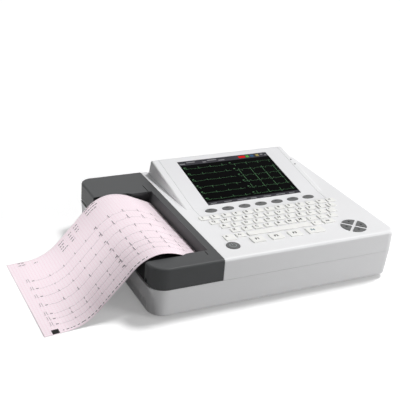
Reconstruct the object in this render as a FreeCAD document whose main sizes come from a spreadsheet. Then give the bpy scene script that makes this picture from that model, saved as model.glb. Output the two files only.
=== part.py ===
import FreeCAD, Part
import math
import os
import re

import Sketcher
from FreeCAD import Placement, Rotation, Vector

# An electrocardiograph with a thermal recorder, a raised colour display and a full keyboard.
# X runs to the right, Y to the back and Z up; the origin is on the surface under the case's centre.
# Lengths are millimetres, angles degrees; a size that follows from others is a formula of the sheet.
SIZES = {
    # Case shells
    "case_width": 419,
    "case_left": 204,
    "case_depth": 330,
    "foot_height": 6,
    "seam_height": 51,
    "seam_gap": 0.4,
    "deck_height": 86,
    "case_wall": 2.5,
    "case_draft": 4,
    "front_left_round": 27,
    "corner_round": 20,
    "right_round": 15,
    "edge_round": 5,
    "cover_round": 3.2,
    "bottom_round": 3.5,
    "foot_radius": 8,
    "foot_inset": 34,
    "vent_width": 2.6,
    "vent_pitch": 6.4,
    "vent_count": 12,
    "vent_low": 12,
    "vent_high": 25,
    "vent_start": 27,
    # Display hood and what it holds
    "hood_margin": 12.7,
    "hood_left": "=cover_width + cover_gap + hood_margin - case_left",
    "hood_right": 182,
    "hood_start": 165,
    "hood_front": "=hood_start - case_depth / 2",
    "hood_end": 15,
    "hood_back": "=case_depth / 2 - hood_end",
    "hood_height": 112.8,
    "hood_foot": 6.5,
    "hood_foot_back": "=case_depth / 2 - hood_foot",
    "hood_round": 3,
    "hood_back_round": 4,
    "hood_skin": 3,
    "hood_rear_skin": 3.6,
    "hood_peak_skin": 3.9,
    "hood_root": 20,
    "hood_lead": 60,
    "bezel_border": 13.5,
    "bezel_left": "=hood_left + bezel_border",
    "bezel_right": 171.5,
    "bezel_apron": 27,
    "bezel_front": "=hood_front - bezel_apron",
    "bezel_margin": 3,
    "bezel_back": "=hood_back - bezel_margin",
    "bezel_thickness": 1.5,
    "bezel_gap": 0.5,
    "screen_left": -36,
    "screen_right": 140.5,
    "screen_low": 5,
    "screen_margin": 13,
    "screen_high": "=hood_back - hood_front - screen_margin",
    "screen_sink": 0.4,
    "screen_gap": 0.2,
    "panel_margin": 4,
    "panel_thickness": 7,
    "panel_room": 2,
    "light_x": 176.5,
    "light_inset": 62,
    "light_y": "=hood_back - light_inset",
    "light_pitch": 15,
    "light_radius": 1.6,
    "light_length": 6,
    # Keys
    "key_rise": 1.8,
    "key_gap": 0.3,
    "key_flange": 1.2,
    "key_lip": 0.9,
    "key_travel": 1.2,
    "key_round": 1.5,
    "key_edge": 0.5,
    "dome_rise": 0.9,
    "dome_edge": 0.8,
    "letter_width": 15.5,
    "letter_depth": 11.5,
    "letter_pitch": 19.8,
    "row_pitch": 16.9,
    "first_row_x": -72,
    "row_start": 36.2,
    "first_row_y": "=hood_front - row_start",
    "row_stagger": 9.9,
    "large_key_x": -63.5,
    "large_key_width": 17,
    "large_key_depth": 17.5,
    "space_x": -22.4,
    "space_length": 113,
    "end_key_width": 21,
    "function_x": -27,
    "function_row": 124.2,
    "function_y": "=hood_front - function_row",
    "function_pitch": 33,
    "function_width": 22,
    "function_last_width": 30,
    "function_depth": 17,
    "soft_key_x": -40,
    "soft_key_row": 12.8,
    "soft_key_y": "=hood_front - soft_key_row",
    "soft_key_pitch": 30.6,
    "soft_key_major": 10.5,
    "soft_key_minor": 6.3,
    "power_key_x": -61,
    "pad_row": 130,
    "power_key_y": "=hood_front - pad_row",
    "power_key_radius": 10.8,
    "pad_x": 156,
    "pad_y": "=hood_front - pad_row",
    "pad_radius": 21.5,
    "pad_split": 3.2,
    "mat_thickness": 1.5,
    "mat_margin": 10,
    "board_thickness": 1.6,
    "keypad_left": -76,
    "keypad_right": 179,
    "keypad_reach": 153.5,
    "keypad_front": "=hood_front - keypad_reach",
    "keypad_margin": 3,
    "keypad_back": "=hood_front - keypad_margin",
    "post_radius": 4,
    "standoff_radius": 3,
    "standoff_inset": 4,
    # Recorder cover
    "cover_width": 111.8,
    "cover_gap": 0.5,
    "cover_wall": 2.5,
    "front_arm": 30.5,
    "beam_top": 11.3,
    "beam_foot": 14.8,
    "beam_drop": 18,
    "lip_reach": 4,
    "lip_length": 34,
    "lip_thickness": 4,
    "slit_width": 1.2,
    "slit_front": 9,
    "slit_rear": 22,
    "slit_inset": 17.6,
    "hinge_inset": 6.5,
    "hinge_pin_radius": 2,
    "hinge_play": 0.05,
    "hinge_post": 3.5,
    "pin_hold": 1,
    "hinge_gap": 0.8,
    "hinge_notch": 4,
    "hinge_root": 12,
    "deck_thickness": 2.5,
    "deck_drop": 12.5,
    "deck_start": 20,
    "deck_fall": 16,
    "deck_fall_bend": 20,
    "deck_fall_lean": 1.25,
    "deck_bend": 30,
    "deck_gap": 1.2,
    "deck_tuck": 2,
    "tear_bar_width": 3,
    "tear_bar_thickness": 0.6,
    # Platen, gears and motor
    "platen_radius": 8,
    "platen_inset": 13.8,
    "platen_depth": 29,
    "platen_shaft": 3,
    "platen_overhang": 1.5,
    "shaft_play": 0.05,
    "bearing_radius": 4.5,
    "bearing_flange": 6,
    "flange_thickness": 1,
    "gear_module": 1,
    "gear_addendum": 0.85,
    "gear_dedendum": 1.25,
    "gear_pressure": 20,
    "gear_teeth": 18,
    "pinion_teeth": 12,
    "gear_width": 6,
    "gear_backlash": 0.3,
    "gear_spread": 0.2,
    "gear_gap": 1.5,
    "pinion_bore": 1.5,
    "pinion_extra": 0.5,
    "motor_radius": 14,
    "motor_length": 22,
    # Print head on its chassis
    "head_angle": 30,
    "head_gap": 0.9,
    "head_thickness": 1.2,
    "head_reach": 7.5,
    "head_overhang": 3,
    "sink_thickness": 8,
    "spring_length": 6.4,
    "spring_radius": 3,
    "spring_wall": 0.8,
    "spring_pitch": 85,
    "chassis_sheet": 2,
    "chassis_height": 17,
    "chassis_reach": 30,
    "chassis_width": 34,
    "motor_plate": 2,
    "motor_plate_half": 17,
    # Paper
    "paper_width": 210,
    "paper_side": 4.5,
    "paper_rear": 8,
    "paper_thickness": 0.3,
    "paper_clear": 0.3,
    "paper_floor": 0.2,
    "exit_slope": 25,
    "hump_x": -178,
    "hump_back_radius": 80,
    "hump_front_radius": 60,
    "fall_slope": 46,
    "foot_curve": 75,
    "paper_end": -354,
    "paper_skew": 17,
    "roll_radius": 25,
    "roll_inset": 46,
    "roll_height": 37,
    "core_radius": 9.5,
    "spindle_radius": 8,
    "journal_radius": 4,
    "journal_play": 0.05,
    "bracket_thickness": 3,
    "bracket_half": 12,
    "bracket_gap": 0.8,
    "bracket_rise": 9,
    # Boards, battery and sockets
    "supply_left": -55,
    "supply_right": 84,
    "supply_depth": 36,
    "supply_inset": 15,
    "supply_back": "=case_depth / 2 - supply_inset",
    "supply_front": "=supply_back - supply_depth",
    "supply_rise": 24,
    "battery_left": 22,
    "battery_right": 168,
    "battery_depth": 64,
    "battery_gap": 8,
    "battery_back": "=supply_front - battery_gap",
    "battery_front": "=battery_back - battery_depth",
    "battery_thickness": 21,
    "main_board_left": -55,
    "main_board_inset": 14,
    "main_board_right": "=case_width - case_left - main_board_inset",
    "main_board_start": 27,
    "main_board_front": "=main_board_start - case_depth / 2",
    "main_board_gap": 12,
    "main_board_back": "=battery_front - main_board_gap",
    "main_board_height": 18,
    "door_gap": 0.4,
    "door_lip": 6,
    "speaker_x": -20,
    "speaker_y": 72,
    "speaker_radius": 16,
    "speaker_height": 9,
    "screw_inset": 20,
    "screw_x": "=case_width - case_left - screw_inset",
    "screw_y": "=case_depth / 2 - screw_inset",
    "screw_left": 9.7,
    "screw_left_x": "=cover_width + cover_gap + screw_left - case_left",
    "screw_radius": 1.5,
    "screw_head": 2.8,
    "screw_sink": 3,
    "screw_grip": 12,
    "screw_play": 0.2,
    "socket_wall": 1.6,
    "patient_place": 110,
    "patient_y": "=main_board_back - patient_place",
    "patient_half": 20,
    "patient_height": 13,
    "patient_length": 24,
    "patient_cavity": 8,
    "usb_place": 56,
    "usb_y": "=main_board_back - usb_place",
    "usb_pitch": 22,
    "usb_half": 8,
    "usb_height": 8.6,
    "usb_length": 18,
    "network_place": 12,
    "network_y": "=main_board_back - network_place",
    "network_half": 8.5,
    "network_height": 14,
    "network_length": 20,
    "side_face": 2.5,
    "plate_margin": 8,
    "plate_low": 15,
    "plate_high": 39,
    "plate_reach": 12,
    "plate_gap": 0.2,
    "inlet_x": 150,
    "inlet_half": 15,
    "inlet_low": 13,
    "inlet_height": 25,
    "inlet_depth": 24,
    "inlet_cavity": 16,
    "inlet_wall": 2.4,
    "blade_pitch": 6,
    "switch_half": 8,
    "switch_play": 0.6,
    "switch_pin": 1.5,
    "pin_x": 96,
    "pin_height": 26,
    "earth_pin_radius": 3,
    "earth_pin_reach": 10,
    "earth_nut_radius": 6,
    "earth_nut": 3,
    "earth_wall": 7.5,
}

doc = FreeCAD.newDocument("ecg_machine")
sheet = doc.addObject("Spreadsheet::Sheet", "Sizes")
for row, (alias, amount) in enumerate(SIZES.items(), start=1):
    sheet.set(f"A{row}", alias)
    sheet.setAlias(f"B{row}", alias)
for row, amount in enumerate(SIZES.values(), start=1):
    sheet.set(f"B{row}", str(amount))
doc.recompute()

nodes = []


def formula(text):
    """A formula on the sheet's aliases, as an expression of the document."""
    return re.sub(r"[a-z_]\w*", lambda word: ("Sizes." if word[0] in SIZES else "") + word[0], str(text))


def value(text):
    """The present value of a formula on the sheet's aliases."""
    result = sheet.evalExpression(formula(text))
    return float(getattr(result, "Value", result))


def bind(thing, prop, text):
    thing.setExpression(prop, formula(text))


def node(label, thing):
    """Name a finished sub-part; its label names its file."""
    thing.Label = label
    nodes.append(thing)
    return thing


def block(label, x, y, z):
    """A box between two formulas along each axis."""
    thing = doc.addObject("Part::Box", label)
    for side, axis, (low, high) in zip(("Length", "Width", "Height"), "xyz", (x, y, z)):
        bind(thing, side, f"({high}) - ({low})")
        bind(thing, f"Placement.Base.{axis}", low)
    return thing


AXIS_TURN = {"x": Rotation(Vector(0, 1, 0), 90), "y": Rotation(Vector(1, 0, 0), -90), "z": Rotation()}


def rod(label, axis, centre, span, radius):
    """A cylinder along an axis, between two formulas, centred on two formulas across it."""
    thing = doc.addObject("Part::Cylinder", label)
    thing.Placement = Placement(Vector(), AXIS_TURN[axis])
    low, high = span
    bind(thing, "Radius", radius)
    bind(thing, "Height", f"({high}) - ({low})")
    bind(thing, f"Placement.Base.{axis}", low)
    for across, text in zip("xyz".replace(axis, ""), centre):
        bind(thing, f"Placement.Base.{across}", text)
    return thing


PLANES = {
    "xy": (Rotation(), Vector(0, 0, 1)),
    "xz": (Rotation(Vector(1, 0, 0), 90), Vector(0, 1, 0)),
    "yz": (Rotation(Vector(1, 1, 1), 120), Vector(1, 0, 0)),
}


def outline(label, plane, corners):
    """A closed sketch through corners (across, up) or (across, up, radius), all formulas."""
    sketch = doc.addObject("Sketcher::SketchObject", label)
    sketch.Placement = Placement(Vector(), PLANES[plane][0])
    spots = [Vector(value(corner[0]), value(corner[1])) for corner in corners]
    radii = [value(corner[2]) if len(corner) > 2 else 0 for corner in corners]
    count = len(spots)
    leave = []
    enter = []
    middle = []
    for k in range(count):
        before = (spots[k - 1] - spots[k]).normalize()
        after = (spots[(k + 1) % count] - spots[k]).normalize()
        half = before.getAngle(after) / 2
        back_off = radii[k] / math.tan(half)
        leave.append(spots[k] + before * back_off)
        enter.append(spots[k] + after * back_off)
        bisector = (before + after).normalize()
        middle.append(spots[k] + bisector * (radii[k] / math.sin(half) - radii[k]))
    lines = [sketch.addGeometry(Part.LineSegment(enter[k], leave[(k + 1) % count]),
                                False) for k in range(count)]
    for k, corner in enumerate(corners):
        arriving = lines[k - 1]
        leaving = lines[k]
        spot = sketch.addGeometry(Part.Point(spots[k]), True)
        across = sketch.addConstraint(Sketcher.Constraint("DistanceX", -1, 1, spot, 1, spots[k].x))
        up = sketch.addConstraint(Sketcher.Constraint("DistanceY", -1, 1, spot, 1, spots[k].y))
        bind(sketch, f"Constraints[{across}]", corner[0])
        bind(sketch, f"Constraints[{up}]", corner[1])
        if not radii[k]:
            sketch.addConstraint(Sketcher.Constraint("Coincident", arriving, 2, spot, 1))
            sketch.addConstraint(Sketcher.Constraint("Coincident", leaving, 1, spot, 1))
            continue
        arc = sketch.addGeometry(Part.Arc(leave[k], middle[k], enter[k]), False)
        first = 1 if sketch.getPoint(arc, 1).isEqual(leave[k], 1e-6) else 2
        sketch.addConstraint(Sketcher.Constraint("PointOnObject", spot, 1, arriving))
        sketch.addConstraint(Sketcher.Constraint("PointOnObject", spot, 1, leaving))
        sketch.addConstraint(Sketcher.Constraint("Tangent", arriving, 2, arc, first))
        sketch.addConstraint(Sketcher.Constraint("Tangent", leaving, 1, arc, 3 - first))
        round_off = sketch.addConstraint(Sketcher.Constraint("Radius", arc, radii[k]))
        bind(sketch, f"Constraints[{round_off}]", corner[2])
    return sketch


def prism(label, plane, corners, span, taper=None, downward=False):
    """A closed outline drawn out across its plane, between two formulas; a taper draws it in on the way."""
    low, high = span
    sketch = outline(label + "_outline", plane, corners)
    axis = {"xy": "z", "xz": "y", "yz": "x"}[plane]
    bind(sketch, f"Placement.Base.{axis}", high if downward else low)
    thing = doc.addObject("Part::Extrusion", label)
    thing.Base = sketch
    thing.DirMode = "Custom"
    thing.Dir = PLANES[plane][1] * (-1 if downward else 1)
    thing.Solid = True
    bind(thing, "LengthFwd", f"({high}) - ({low})")
    if taper:
        bind(thing, "TaperAngle", f"-({taper})")
    return thing


def group(label, things):
    """Separate solids that share one node or one cut."""
    thing = doc.addObject("Part::Compound", label)
    thing.Links = things
    return thing


def fuse(label, *things):
    thing = doc.addObject("Part::MultiFuse", label)
    thing.Shapes = things
    return thing


def cut(label, base, *tools):
    thing = doc.addObject("Part::Cut", label)
    thing.Base = base
    thing.Tool = tools[0] if len(tools) == 1 else fuse(label + "_tools", *tools)
    return thing


def rounded(label, base, radius, wanted):
    """Round the edges that pass a test of their box."""
    doc.recompute()
    thing = doc.addObject("Part::Fillet", label)
    thing.Base = base
    size = value(radius)
    edges = enumerate(base.Shape.Edges, start=1)
    thing.Edges = [(number, size, size) for number, edge in edges if wanted(edge.BoundBox)]
    return thing


def near(one, other):
    return abs(one - other) < 0.01


# Places that several pieces share
LEFT = "(-case_left)"
RIGHT = "(case_width - case_left)"
FRONT = "(-case_depth / 2)"
BACK = "(case_depth / 2)"
FLOOR = "(foot_height + case_wall)"
COVER_LOW = "(seam_height + seam_gap)"
COVER_RIGHT = f"({LEFT} + cover_width)"
UPPER_LEFT = f"({COVER_RIGHT} + cover_gap)"
OPEN_FRONT = f"({FRONT} + front_arm)"
OPEN_BACK = f"({OPEN_FRONT} + paper_side + paper_width + paper_rear)"
UNDER_DECK = "(deck_height - case_wall)"
HINGE_X = f"({LEFT} + hinge_inset)"
HINGE_Z = f"({COVER_LOW} + hinge_inset)"
PLATEN_X = f"({COVER_RIGHT} - platen_inset)"
PLATEN_Z = "(deck_height - platen_depth)"
PAPER_FRONT = f"({OPEN_FRONT} + paper_side)"
PAPER_BACK = f"({PAPER_FRONT} + paper_width)"
ROLL_X = f"({LEFT} + roll_inset)"
HOOD_RISE = "((hood_height - deck_height) / (hood_back - hood_front))"
HOOD_TILT = f"atan({HOOD_RISE})"
REAR_DROP = "((hood_foot_back - hood_back) / (hood_height - deck_height))"


def hood_at(y):
    """Height of the hood's sloping top over a place along Y."""
    return f"(deck_height + (({y}) - hood_front) * {HOOD_RISE})"


def slab(label, x, along, depth):
    """A box lying on the hood's slope: along it from its front fold, and in depth from its face."""
    thing = doc.addObject("Part::Box", label)
    thing.Placement = Placement(Vector(), Rotation(Vector(1, 0, 0), 1))
    for side, (low, high) in zip(("Length", "Width", "Height"), (x, along, depth)):
        bind(thing, side, f"({high}) - ({low})")
    bind(thing, "Placement.Rotation.Angle", HOOD_TILT)
    bind(thing, "Placement.Base.x", x[0])
    bind(thing, "Placement.Base.y",
         f"hood_front + ({along[0]}) * cos({HOOD_TILT}) - ({depth[0]}) * sin({HOOD_TILT})")
    bind(thing, "Placement.Base.z",
         f"deck_height + ({along[0]}) * sin({HOOD_TILT}) + ({depth[0]}) * cos({HOOD_TILT})")
    return thing


def beside_platen(label, outward, up, y):
    """A box square to the print line: outward from the platen's axis, and up along the head's face."""
    thing = doc.addObject("Part::Box", label)
    thing.Placement = Placement(Vector(), Rotation(Vector(0, 1, 0), 1))
    for side, (low, high) in zip(("Length", "Width", "Height"), (outward, y, up)):
        bind(thing, side, f"({high}) - ({low})")
    bind(thing, "Placement.Rotation.Angle", "head_angle")
    bind(thing, "Placement.Base.x",
         f"{PLATEN_X} + ({outward[0]}) * cos(head_angle) + ({up[0]}) * sin(head_angle)")
    bind(thing, "Placement.Base.y", y[0])
    bind(thing, "Placement.Base.z",
         f"{PLATEN_Z} - ({outward[0]}) * sin(head_angle) + ({up[0]}) * cos(head_angle)")
    return thing


def case_outline(inset, left, left_rounds):
    """The case's plan, drawn in by an inset, with its left side and that side's two corner rounds given."""
    front = f"{FRONT} + {inset}"
    back = f"{BACK} - {inset}"
    right = f"{RIGHT} - {inset}"
    front_left = (left, front) + ((f"{left_rounds[0]} - {inset}",) if left_rounds else ())
    back_left = (left, back) + ((f"{left_rounds[1]} - {inset}",) if left_rounds else ())
    corner = f"right_round - {inset}"
    return [front_left, (right, front, corner), (right, back, corner), back_left]


# Keys: where each stands, so that the case and the bezel can be pierced for it
letter_keys = []
ROW_KEYS = (13, 12, 11, 10)
for number, keys in enumerate(ROW_KEYS):
    row_y = f"first_row_y - {number} * row_pitch"
    row_x = f"first_row_x + {number} * row_stagger"
    places = [(f"{row_x} + {k} * letter_pitch", row_y, "letter_width",
               "letter_depth") for k in range(keys)]
    letter_keys.append(places)
LAST_ROW_Y = f"(first_row_y - {len(ROW_KEYS)} * row_pitch)"
letter_keys.append([
    ("large_key_x", f"{LAST_ROW_Y} + (letter_depth - large_key_depth) / 2", "large_key_width",
     "large_key_depth"),
    ("space_x - letter_pitch", LAST_ROW_Y, "letter_width", "letter_depth"),
    ("space_x + space_length + letter_pitch - letter_width", LAST_ROW_Y, "letter_width", "letter_depth"),
    ("space_x + space_length + 2 * letter_pitch - letter_width", LAST_ROW_Y, "end_key_width",
     "letter_depth"),
])
space_bar = ("space_x", LAST_ROW_Y, "space_length", "letter_depth")
function_keys = [
    (f"function_x + {k} * function_pitch", "function_y",
     "function_last_width" if k == 3 else "function_width",
     "function_depth")
    for k in range(4)
]
soft_keys = [f"(soft_key_x + {k} * soft_key_pitch)" for k in range(7)]

CAP_TOP = "(deck_height + key_rise)"
DOME_TOP = "(deck_height + dome_rise)"
FLANGE_TOP = f"({UNDER_DECK} - key_gap)"
FLANGE_LOW = f"({FLANGE_TOP} - key_flange)"
MAT_TOP = f"({FLANGE_LOW} - key_travel - key_gap)"
MAT_LOW = f"({MAT_TOP} - mat_thickness)"
PIERCE = (f"{UNDER_DECK} - hood_skin", f"{CAP_TOP} + case_wall")


def square_key(label, place):
    """A key cap with softened edges over a wider flange that holds it under the deck."""
    x, y, width, depth = place
    low = f"({y} - {depth} / 2)"
    high = f"({y} + {depth} / 2)"
    cap = block(label + "_block", (x, f"{x} + {width}"), (low, high), (FLANGE_TOP, CAP_TOP))
    top = value(CAP_TOP)
    corners = rounded(label + "_corners", cap, "key_round", lambda box: box.ZLength > 1)
    cap = rounded(label + "_cap", corners, "key_edge", lambda box: near(box.ZMin, top))
    flange = block(label + "_flange", (f"{x} - key_lip", f"{x} + {width} + key_lip"),
                   (f"{low} - key_lip", f"{high} + key_lip"), (FLANGE_LOW, FLANGE_TOP))
    return fuse(label, cap, flange)


def square_hole(label, place):
    """The hole of a square key, wider by its running gap."""
    x, y, width, depth = place
    return block(label, (f"{x} - key_gap", f"{x} + {width} + key_gap"),
                 (f"{y} - {depth} / 2 - key_gap", f"{y} + {depth} / 2 + key_gap"), PIERCE)


def oval(label, x, extra, span):
    """An oval column of a soft key's plan, wider all round by a formula."""
    plan = doc.addObject("Part::Ellipse", label + "_plan")
    bind(plan, "MajorRadius", f"soft_key_major + {extra}")
    bind(plan, "MinorRadius", f"soft_key_minor + {extra}")
    bind(plan, "Placement.Base.x", x)
    bind(plan, "Placement.Base.y", "soft_key_y")
    bind(plan, "Placement.Base.z", span[0])
    thing = doc.addObject("Part::Extrusion", label)
    thing.Base = plan
    thing.DirMode = "Custom"
    thing.Dir = Vector(0, 0, 1)
    thing.Solid = True
    bind(thing, "LengthFwd", f"({span[1]}) - ({span[0]})")
    return thing


PAD_TURNS = {"right": 0, "up": 90, "left": 180, "down": 270}


def pad_sector(label, turn, split, reach, span):
    """A quarter disc of the direction pad, moved out from the pad's centre by a split."""
    sector = rod(label, "z", ("pad_x", "pad_y"), span, f"{reach} - {split}")
    sector.Angle = 90
    sector.Placement = Placement(Vector(), Rotation(Vector(0, 0, 1), turn - 45))
    bind(sector, "Placement.Base.x", f"pad_x + {split} * cos({turn})")
    bind(sector, "Placement.Base.y", f"pad_y + {split} * sin({turn})")
    bind(sector, "Placement.Base.z", span[0])
    return sector


square_places = [place for row in letter_keys for place in row] + [space_bar] + function_keys
square_holes = [square_hole(f"square_hole_{k}", place) for k, place in enumerate(square_places)]
oval_holes = [oval(f"soft_key_hole_{k}", x, "key_gap", PIERCE) for k, x in enumerate(soft_keys)]
power_hole = rod("power_key_hole", "z", ("power_key_x", "power_key_y"), PIERCE,
                 "power_key_radius + key_gap")
pad_holes = [
    pad_sector(f"pad_hole_{name}", turn, "(pad_split - key_gap * sqrt(2))", "(pad_radius + key_gap)",
               PIERCE)
    for name, turn in PAD_TURNS.items()
]
oval_cut = group("soft_key_holes", oval_holes)
key_cut = group("key_holes", square_holes + [power_hole] + pad_holes)

SCREWS = [(x, y) for x in ("screw_left_x", "screw_x") for y in ("-screw_y", "screw_y")]

# Upper case: the white deck with the raised display hood, hollow and open below
upper_block = prism("upper_block", "xy", case_outline("0", UPPER_LEFT, None), (COVER_LOW, "deck_height"))
deck_top = value("deck_height")
upper_left = value(UPPER_LEFT)
upper_block = rounded("upper_deck", upper_block, "edge_round",
                      lambda box: near(box.ZMin, deck_top) and not near(box.XMax, upper_left))
HOOD_START = "(hood_front - hood_lead)"
HOOD_LOW = "(deck_height - hood_root)"
hood = prism("hood_wedge", "yz", [
    (HOOD_START, HOOD_LOW),
    (f"hood_back + (hood_height - {HOOD_LOW}) * {REAR_DROP}", HOOD_LOW),
    ("hood_back", "hood_height", "hood_back_round"),
    (HOOD_START, hood_at(HOOD_START)),
], ("hood_left", "hood_right"))
hood_low = value(HOOD_LOW)
hood_start = value(HOOD_START)
hood = rounded("hood_shape", hood, "hood_round",
               lambda box: box.XLength < 0.01 and box.ZMax > hood_low + 1 and box.YMax > hood_start + 1)
upper_room = prism("upper_room", "xy", case_outline("case_wall", f"{UPPER_LEFT} + case_wall", None),
                   (f"{COVER_LOW} - case_wall", UNDER_DECK))
hood_room = prism("hood_room", "yz", [
    (f"{HOOD_START} + hood_skin", f"{HOOD_LOW} - case_wall"),
    (f"hood_back + (hood_height - {HOOD_LOW}) * {REAR_DROP} - hood_rear_skin", f"{HOOD_LOW} - case_wall"),
    ("hood_back - hood_skin", "hood_height - hood_peak_skin"),
    (f"{HOOD_START} + hood_skin", f"{hood_at(HOOD_START)} - hood_skin"),
], ("hood_left + case_wall", "hood_right - case_wall"))
upper_shell = cut("upper_shell", fuse("upper_mass", upper_block, hood),
                  fuse("upper_hollow", upper_room, hood_room))
upper_posts = [
    rod(f"upper_post_{k}", "z", (x, y), (COVER_LOW, f"{UNDER_DECK} + case_wall / 2"), "post_radius")
    for k, (x, y) in enumerate(SCREWS)
]
keypad_corners = [
    (x, y)
    for x in ("keypad_left + standoff_inset", "keypad_right - standoff_inset")
    for y in ("keypad_front + standoff_inset", "keypad_back - standoff_inset")
]
keypad_posts = [
    rod(f"keypad_post_{k}", "z", place, (MAT_LOW, f"{UNDER_DECK} + case_wall / 2"), "standoff_radius")
    for k, place in enumerate(keypad_corners)
]
thread_holes = [
    rod(f"thread_hole_{k}", "z", place, (f"{COVER_LOW} - 1", f"{COVER_LOW} + screw_grip"), "screw_radius")
    for k, place in enumerate(SCREWS)
]
bezel_bed = prism("bezel_bed", "yz", [
    ("bezel_front - bezel_gap", "deck_height - bezel_thickness"),
    ("hood_front", "deck_height - bezel_thickness"),
    ("bezel_back + bezel_gap", f"{hood_at('bezel_back + bezel_gap')} - bezel_thickness"),
    ("bezel_back + bezel_gap", "hood_height + hood_skin"),
    ("bezel_front - bezel_gap", "hood_height + hood_skin"),
], ("bezel_left - bezel_gap", "bezel_right + bezel_gap"))
panel_x = ("screen_left - panel_margin", "screen_right + panel_margin")
panel_along = ("screen_low - panel_margin", "screen_high + panel_margin")
PANEL_TOP = "(-bezel_thickness)"
panel_hole = slab("panel_hole", (f"{panel_x[0]} - panel_room", f"{panel_x[1]} + panel_room"),
                  (f"{panel_along[0]} - panel_room", f"{panel_along[1]} + panel_room"),
                  (f"{PANEL_TOP} - panel_thickness - hood_skin", "hood_skin"))
head_window = block("head_window", (f"{UPPER_LEFT} - 1", f"{UPPER_LEFT} + case_wall + 1"),
                    (f"{OPEN_FRONT} - case_wall", f"{OPEN_BACK} + case_wall"),
                    (f"{COVER_LOW} - 1", "deck_height - beam_drop"))
light_spots = [("light_x", "light_y"), ("light_x", "light_y + light_pitch")]
light_holes = [
    rod(f"light_hole_{k}", "z", (x, y), (f"{hood_at(y)} - 2 * hood_skin", f"{hood_at(y)} + hood_skin"),
        "light_radius")
    for k, (x, y) in enumerate(light_spots)
]
upper_case = cut("upper_cut", fuse("upper_filled", upper_shell, *upper_posts, *keypad_posts),
                 group("thread_holes", thread_holes), bezel_bed, panel_hole, head_window,
                 group("light_holes", light_holes))
node("upper_case", cut("upper_pierced", cut("upper_keyed", upper_case, key_cut), oval_cut))

# Status lights: two clear light guides in the hood's right border
node("status_lights", group("light_guides", [
    rod(f"light_guide_{k}", "z", (x, y),
        (f"{hood_at(y)} - light_length", f"{hood_at(y)} + light_radius / 4"),
        "light_radius")
    for k, (x, y) in enumerate(light_spots)
]))

# Display bezel: a thin panel let into the hood and the deck, pierced for the screen and the soft keys
bezel_plate = prism("bezel_plate", "yz", [
    ("bezel_front", "deck_height - bezel_thickness"),
    ("hood_front", "deck_height - bezel_thickness"),
    ("bezel_back", f"{hood_at('bezel_back')} - bezel_thickness"),
    ("bezel_back", hood_at("bezel_back")),
    ("hood_front", "deck_height"),
    ("bezel_front", "deck_height"),
], ("bezel_left", "bezel_right"))
screen_x = ("screen_left", "screen_right")
screen_along = ("screen_low", "screen_high")
screen_hole = slab("screen_hole", ("screen_left - screen_gap", "screen_right + screen_gap"),
                   ("screen_low - screen_gap", "screen_high + screen_gap"),
                   ("-2 * bezel_thickness", "bezel_thickness"))
node("display_bezel", cut("bezel_pierced", cut("bezel_framed", bezel_plate, screen_hole), oval_cut))

# Screen window and the display panel behind it
node("screen_window", slab("window_plate", screen_x, screen_along, (PANEL_TOP, "-screen_sink")))
node("lcd_panel", slab("panel_slab", panel_x, panel_along, (f"{PANEL_TOP} - panel_thickness", PANEL_TOP)))

# Keyboard: caps over one silicone mat and one board
for number, places in enumerate(letter_keys, start=1):
    caps = [square_key(f"letter_{number}_{k}", place) for k, place in enumerate(places)]
    node(f"letter_row_{number}", group(f"letters_{number}", caps))
node("space_bar", square_key("space_key", space_bar))
node("function_keys",
     group("function_caps", [square_key(f"function_{k}", at) for k, at in enumerate(function_keys)]))
dome_top = value(DOME_TOP)


def domed(label, stem):
    """A grey key's stem with its top edge rounded off into a low dome."""
    return rounded(label, stem, "dome_edge", lambda box: near(box.ZMin, dome_top))


for number, x in enumerate(soft_keys, start=1):
    stem = oval(f"soft_stem_{number}", x, "0", (FLANGE_TOP, DOME_TOP))
    flange = oval(f"soft_flange_{number}", x, "key_lip", (FLANGE_LOW, FLANGE_TOP))
    node(f"soft_key_{number}", fuse(f"soft_{number}", domed(f"soft_cap_{number}", stem), flange))
power_at = ("power_key_x", "power_key_y")
power_stem = rod("power_stem", "z", power_at, (FLANGE_TOP, DOME_TOP), "power_key_radius")
power_flange = rod("power_flange", "z", power_at, (FLANGE_LOW, FLANGE_TOP), "power_key_radius + key_lip")
node("power_key", fuse("power", domed("power_cap", power_stem), power_flange))
for name, turn in PAD_TURNS.items():
    stem = pad_sector(f"pad_stem_{name}", turn, "pad_split", "pad_radius", (FLANGE_TOP, DOME_TOP))
    flange = pad_sector(f"pad_flange_{name}", turn, "pad_split", "(pad_radius + key_lip)",
                        (FLANGE_LOW, FLANGE_TOP))
    node(f"pad_{name}_key", fuse(f"pad_{name}", domed(f"pad_cap_{name}", stem), flange))
node("keypad_mat", block("mat_sheet", ("keypad_left + mat_margin", "keypad_right - mat_margin"),
                         ("keypad_front + mat_margin", "keypad_back - key_lip"), (MAT_LOW, MAT_TOP)))
node("keypad_board",
     block("keypad_sheet", ("keypad_left", "keypad_right"), ("keypad_front", "keypad_back"),
                           (f"{MAT_LOW} - board_thickness", MAT_LOW)))

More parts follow.
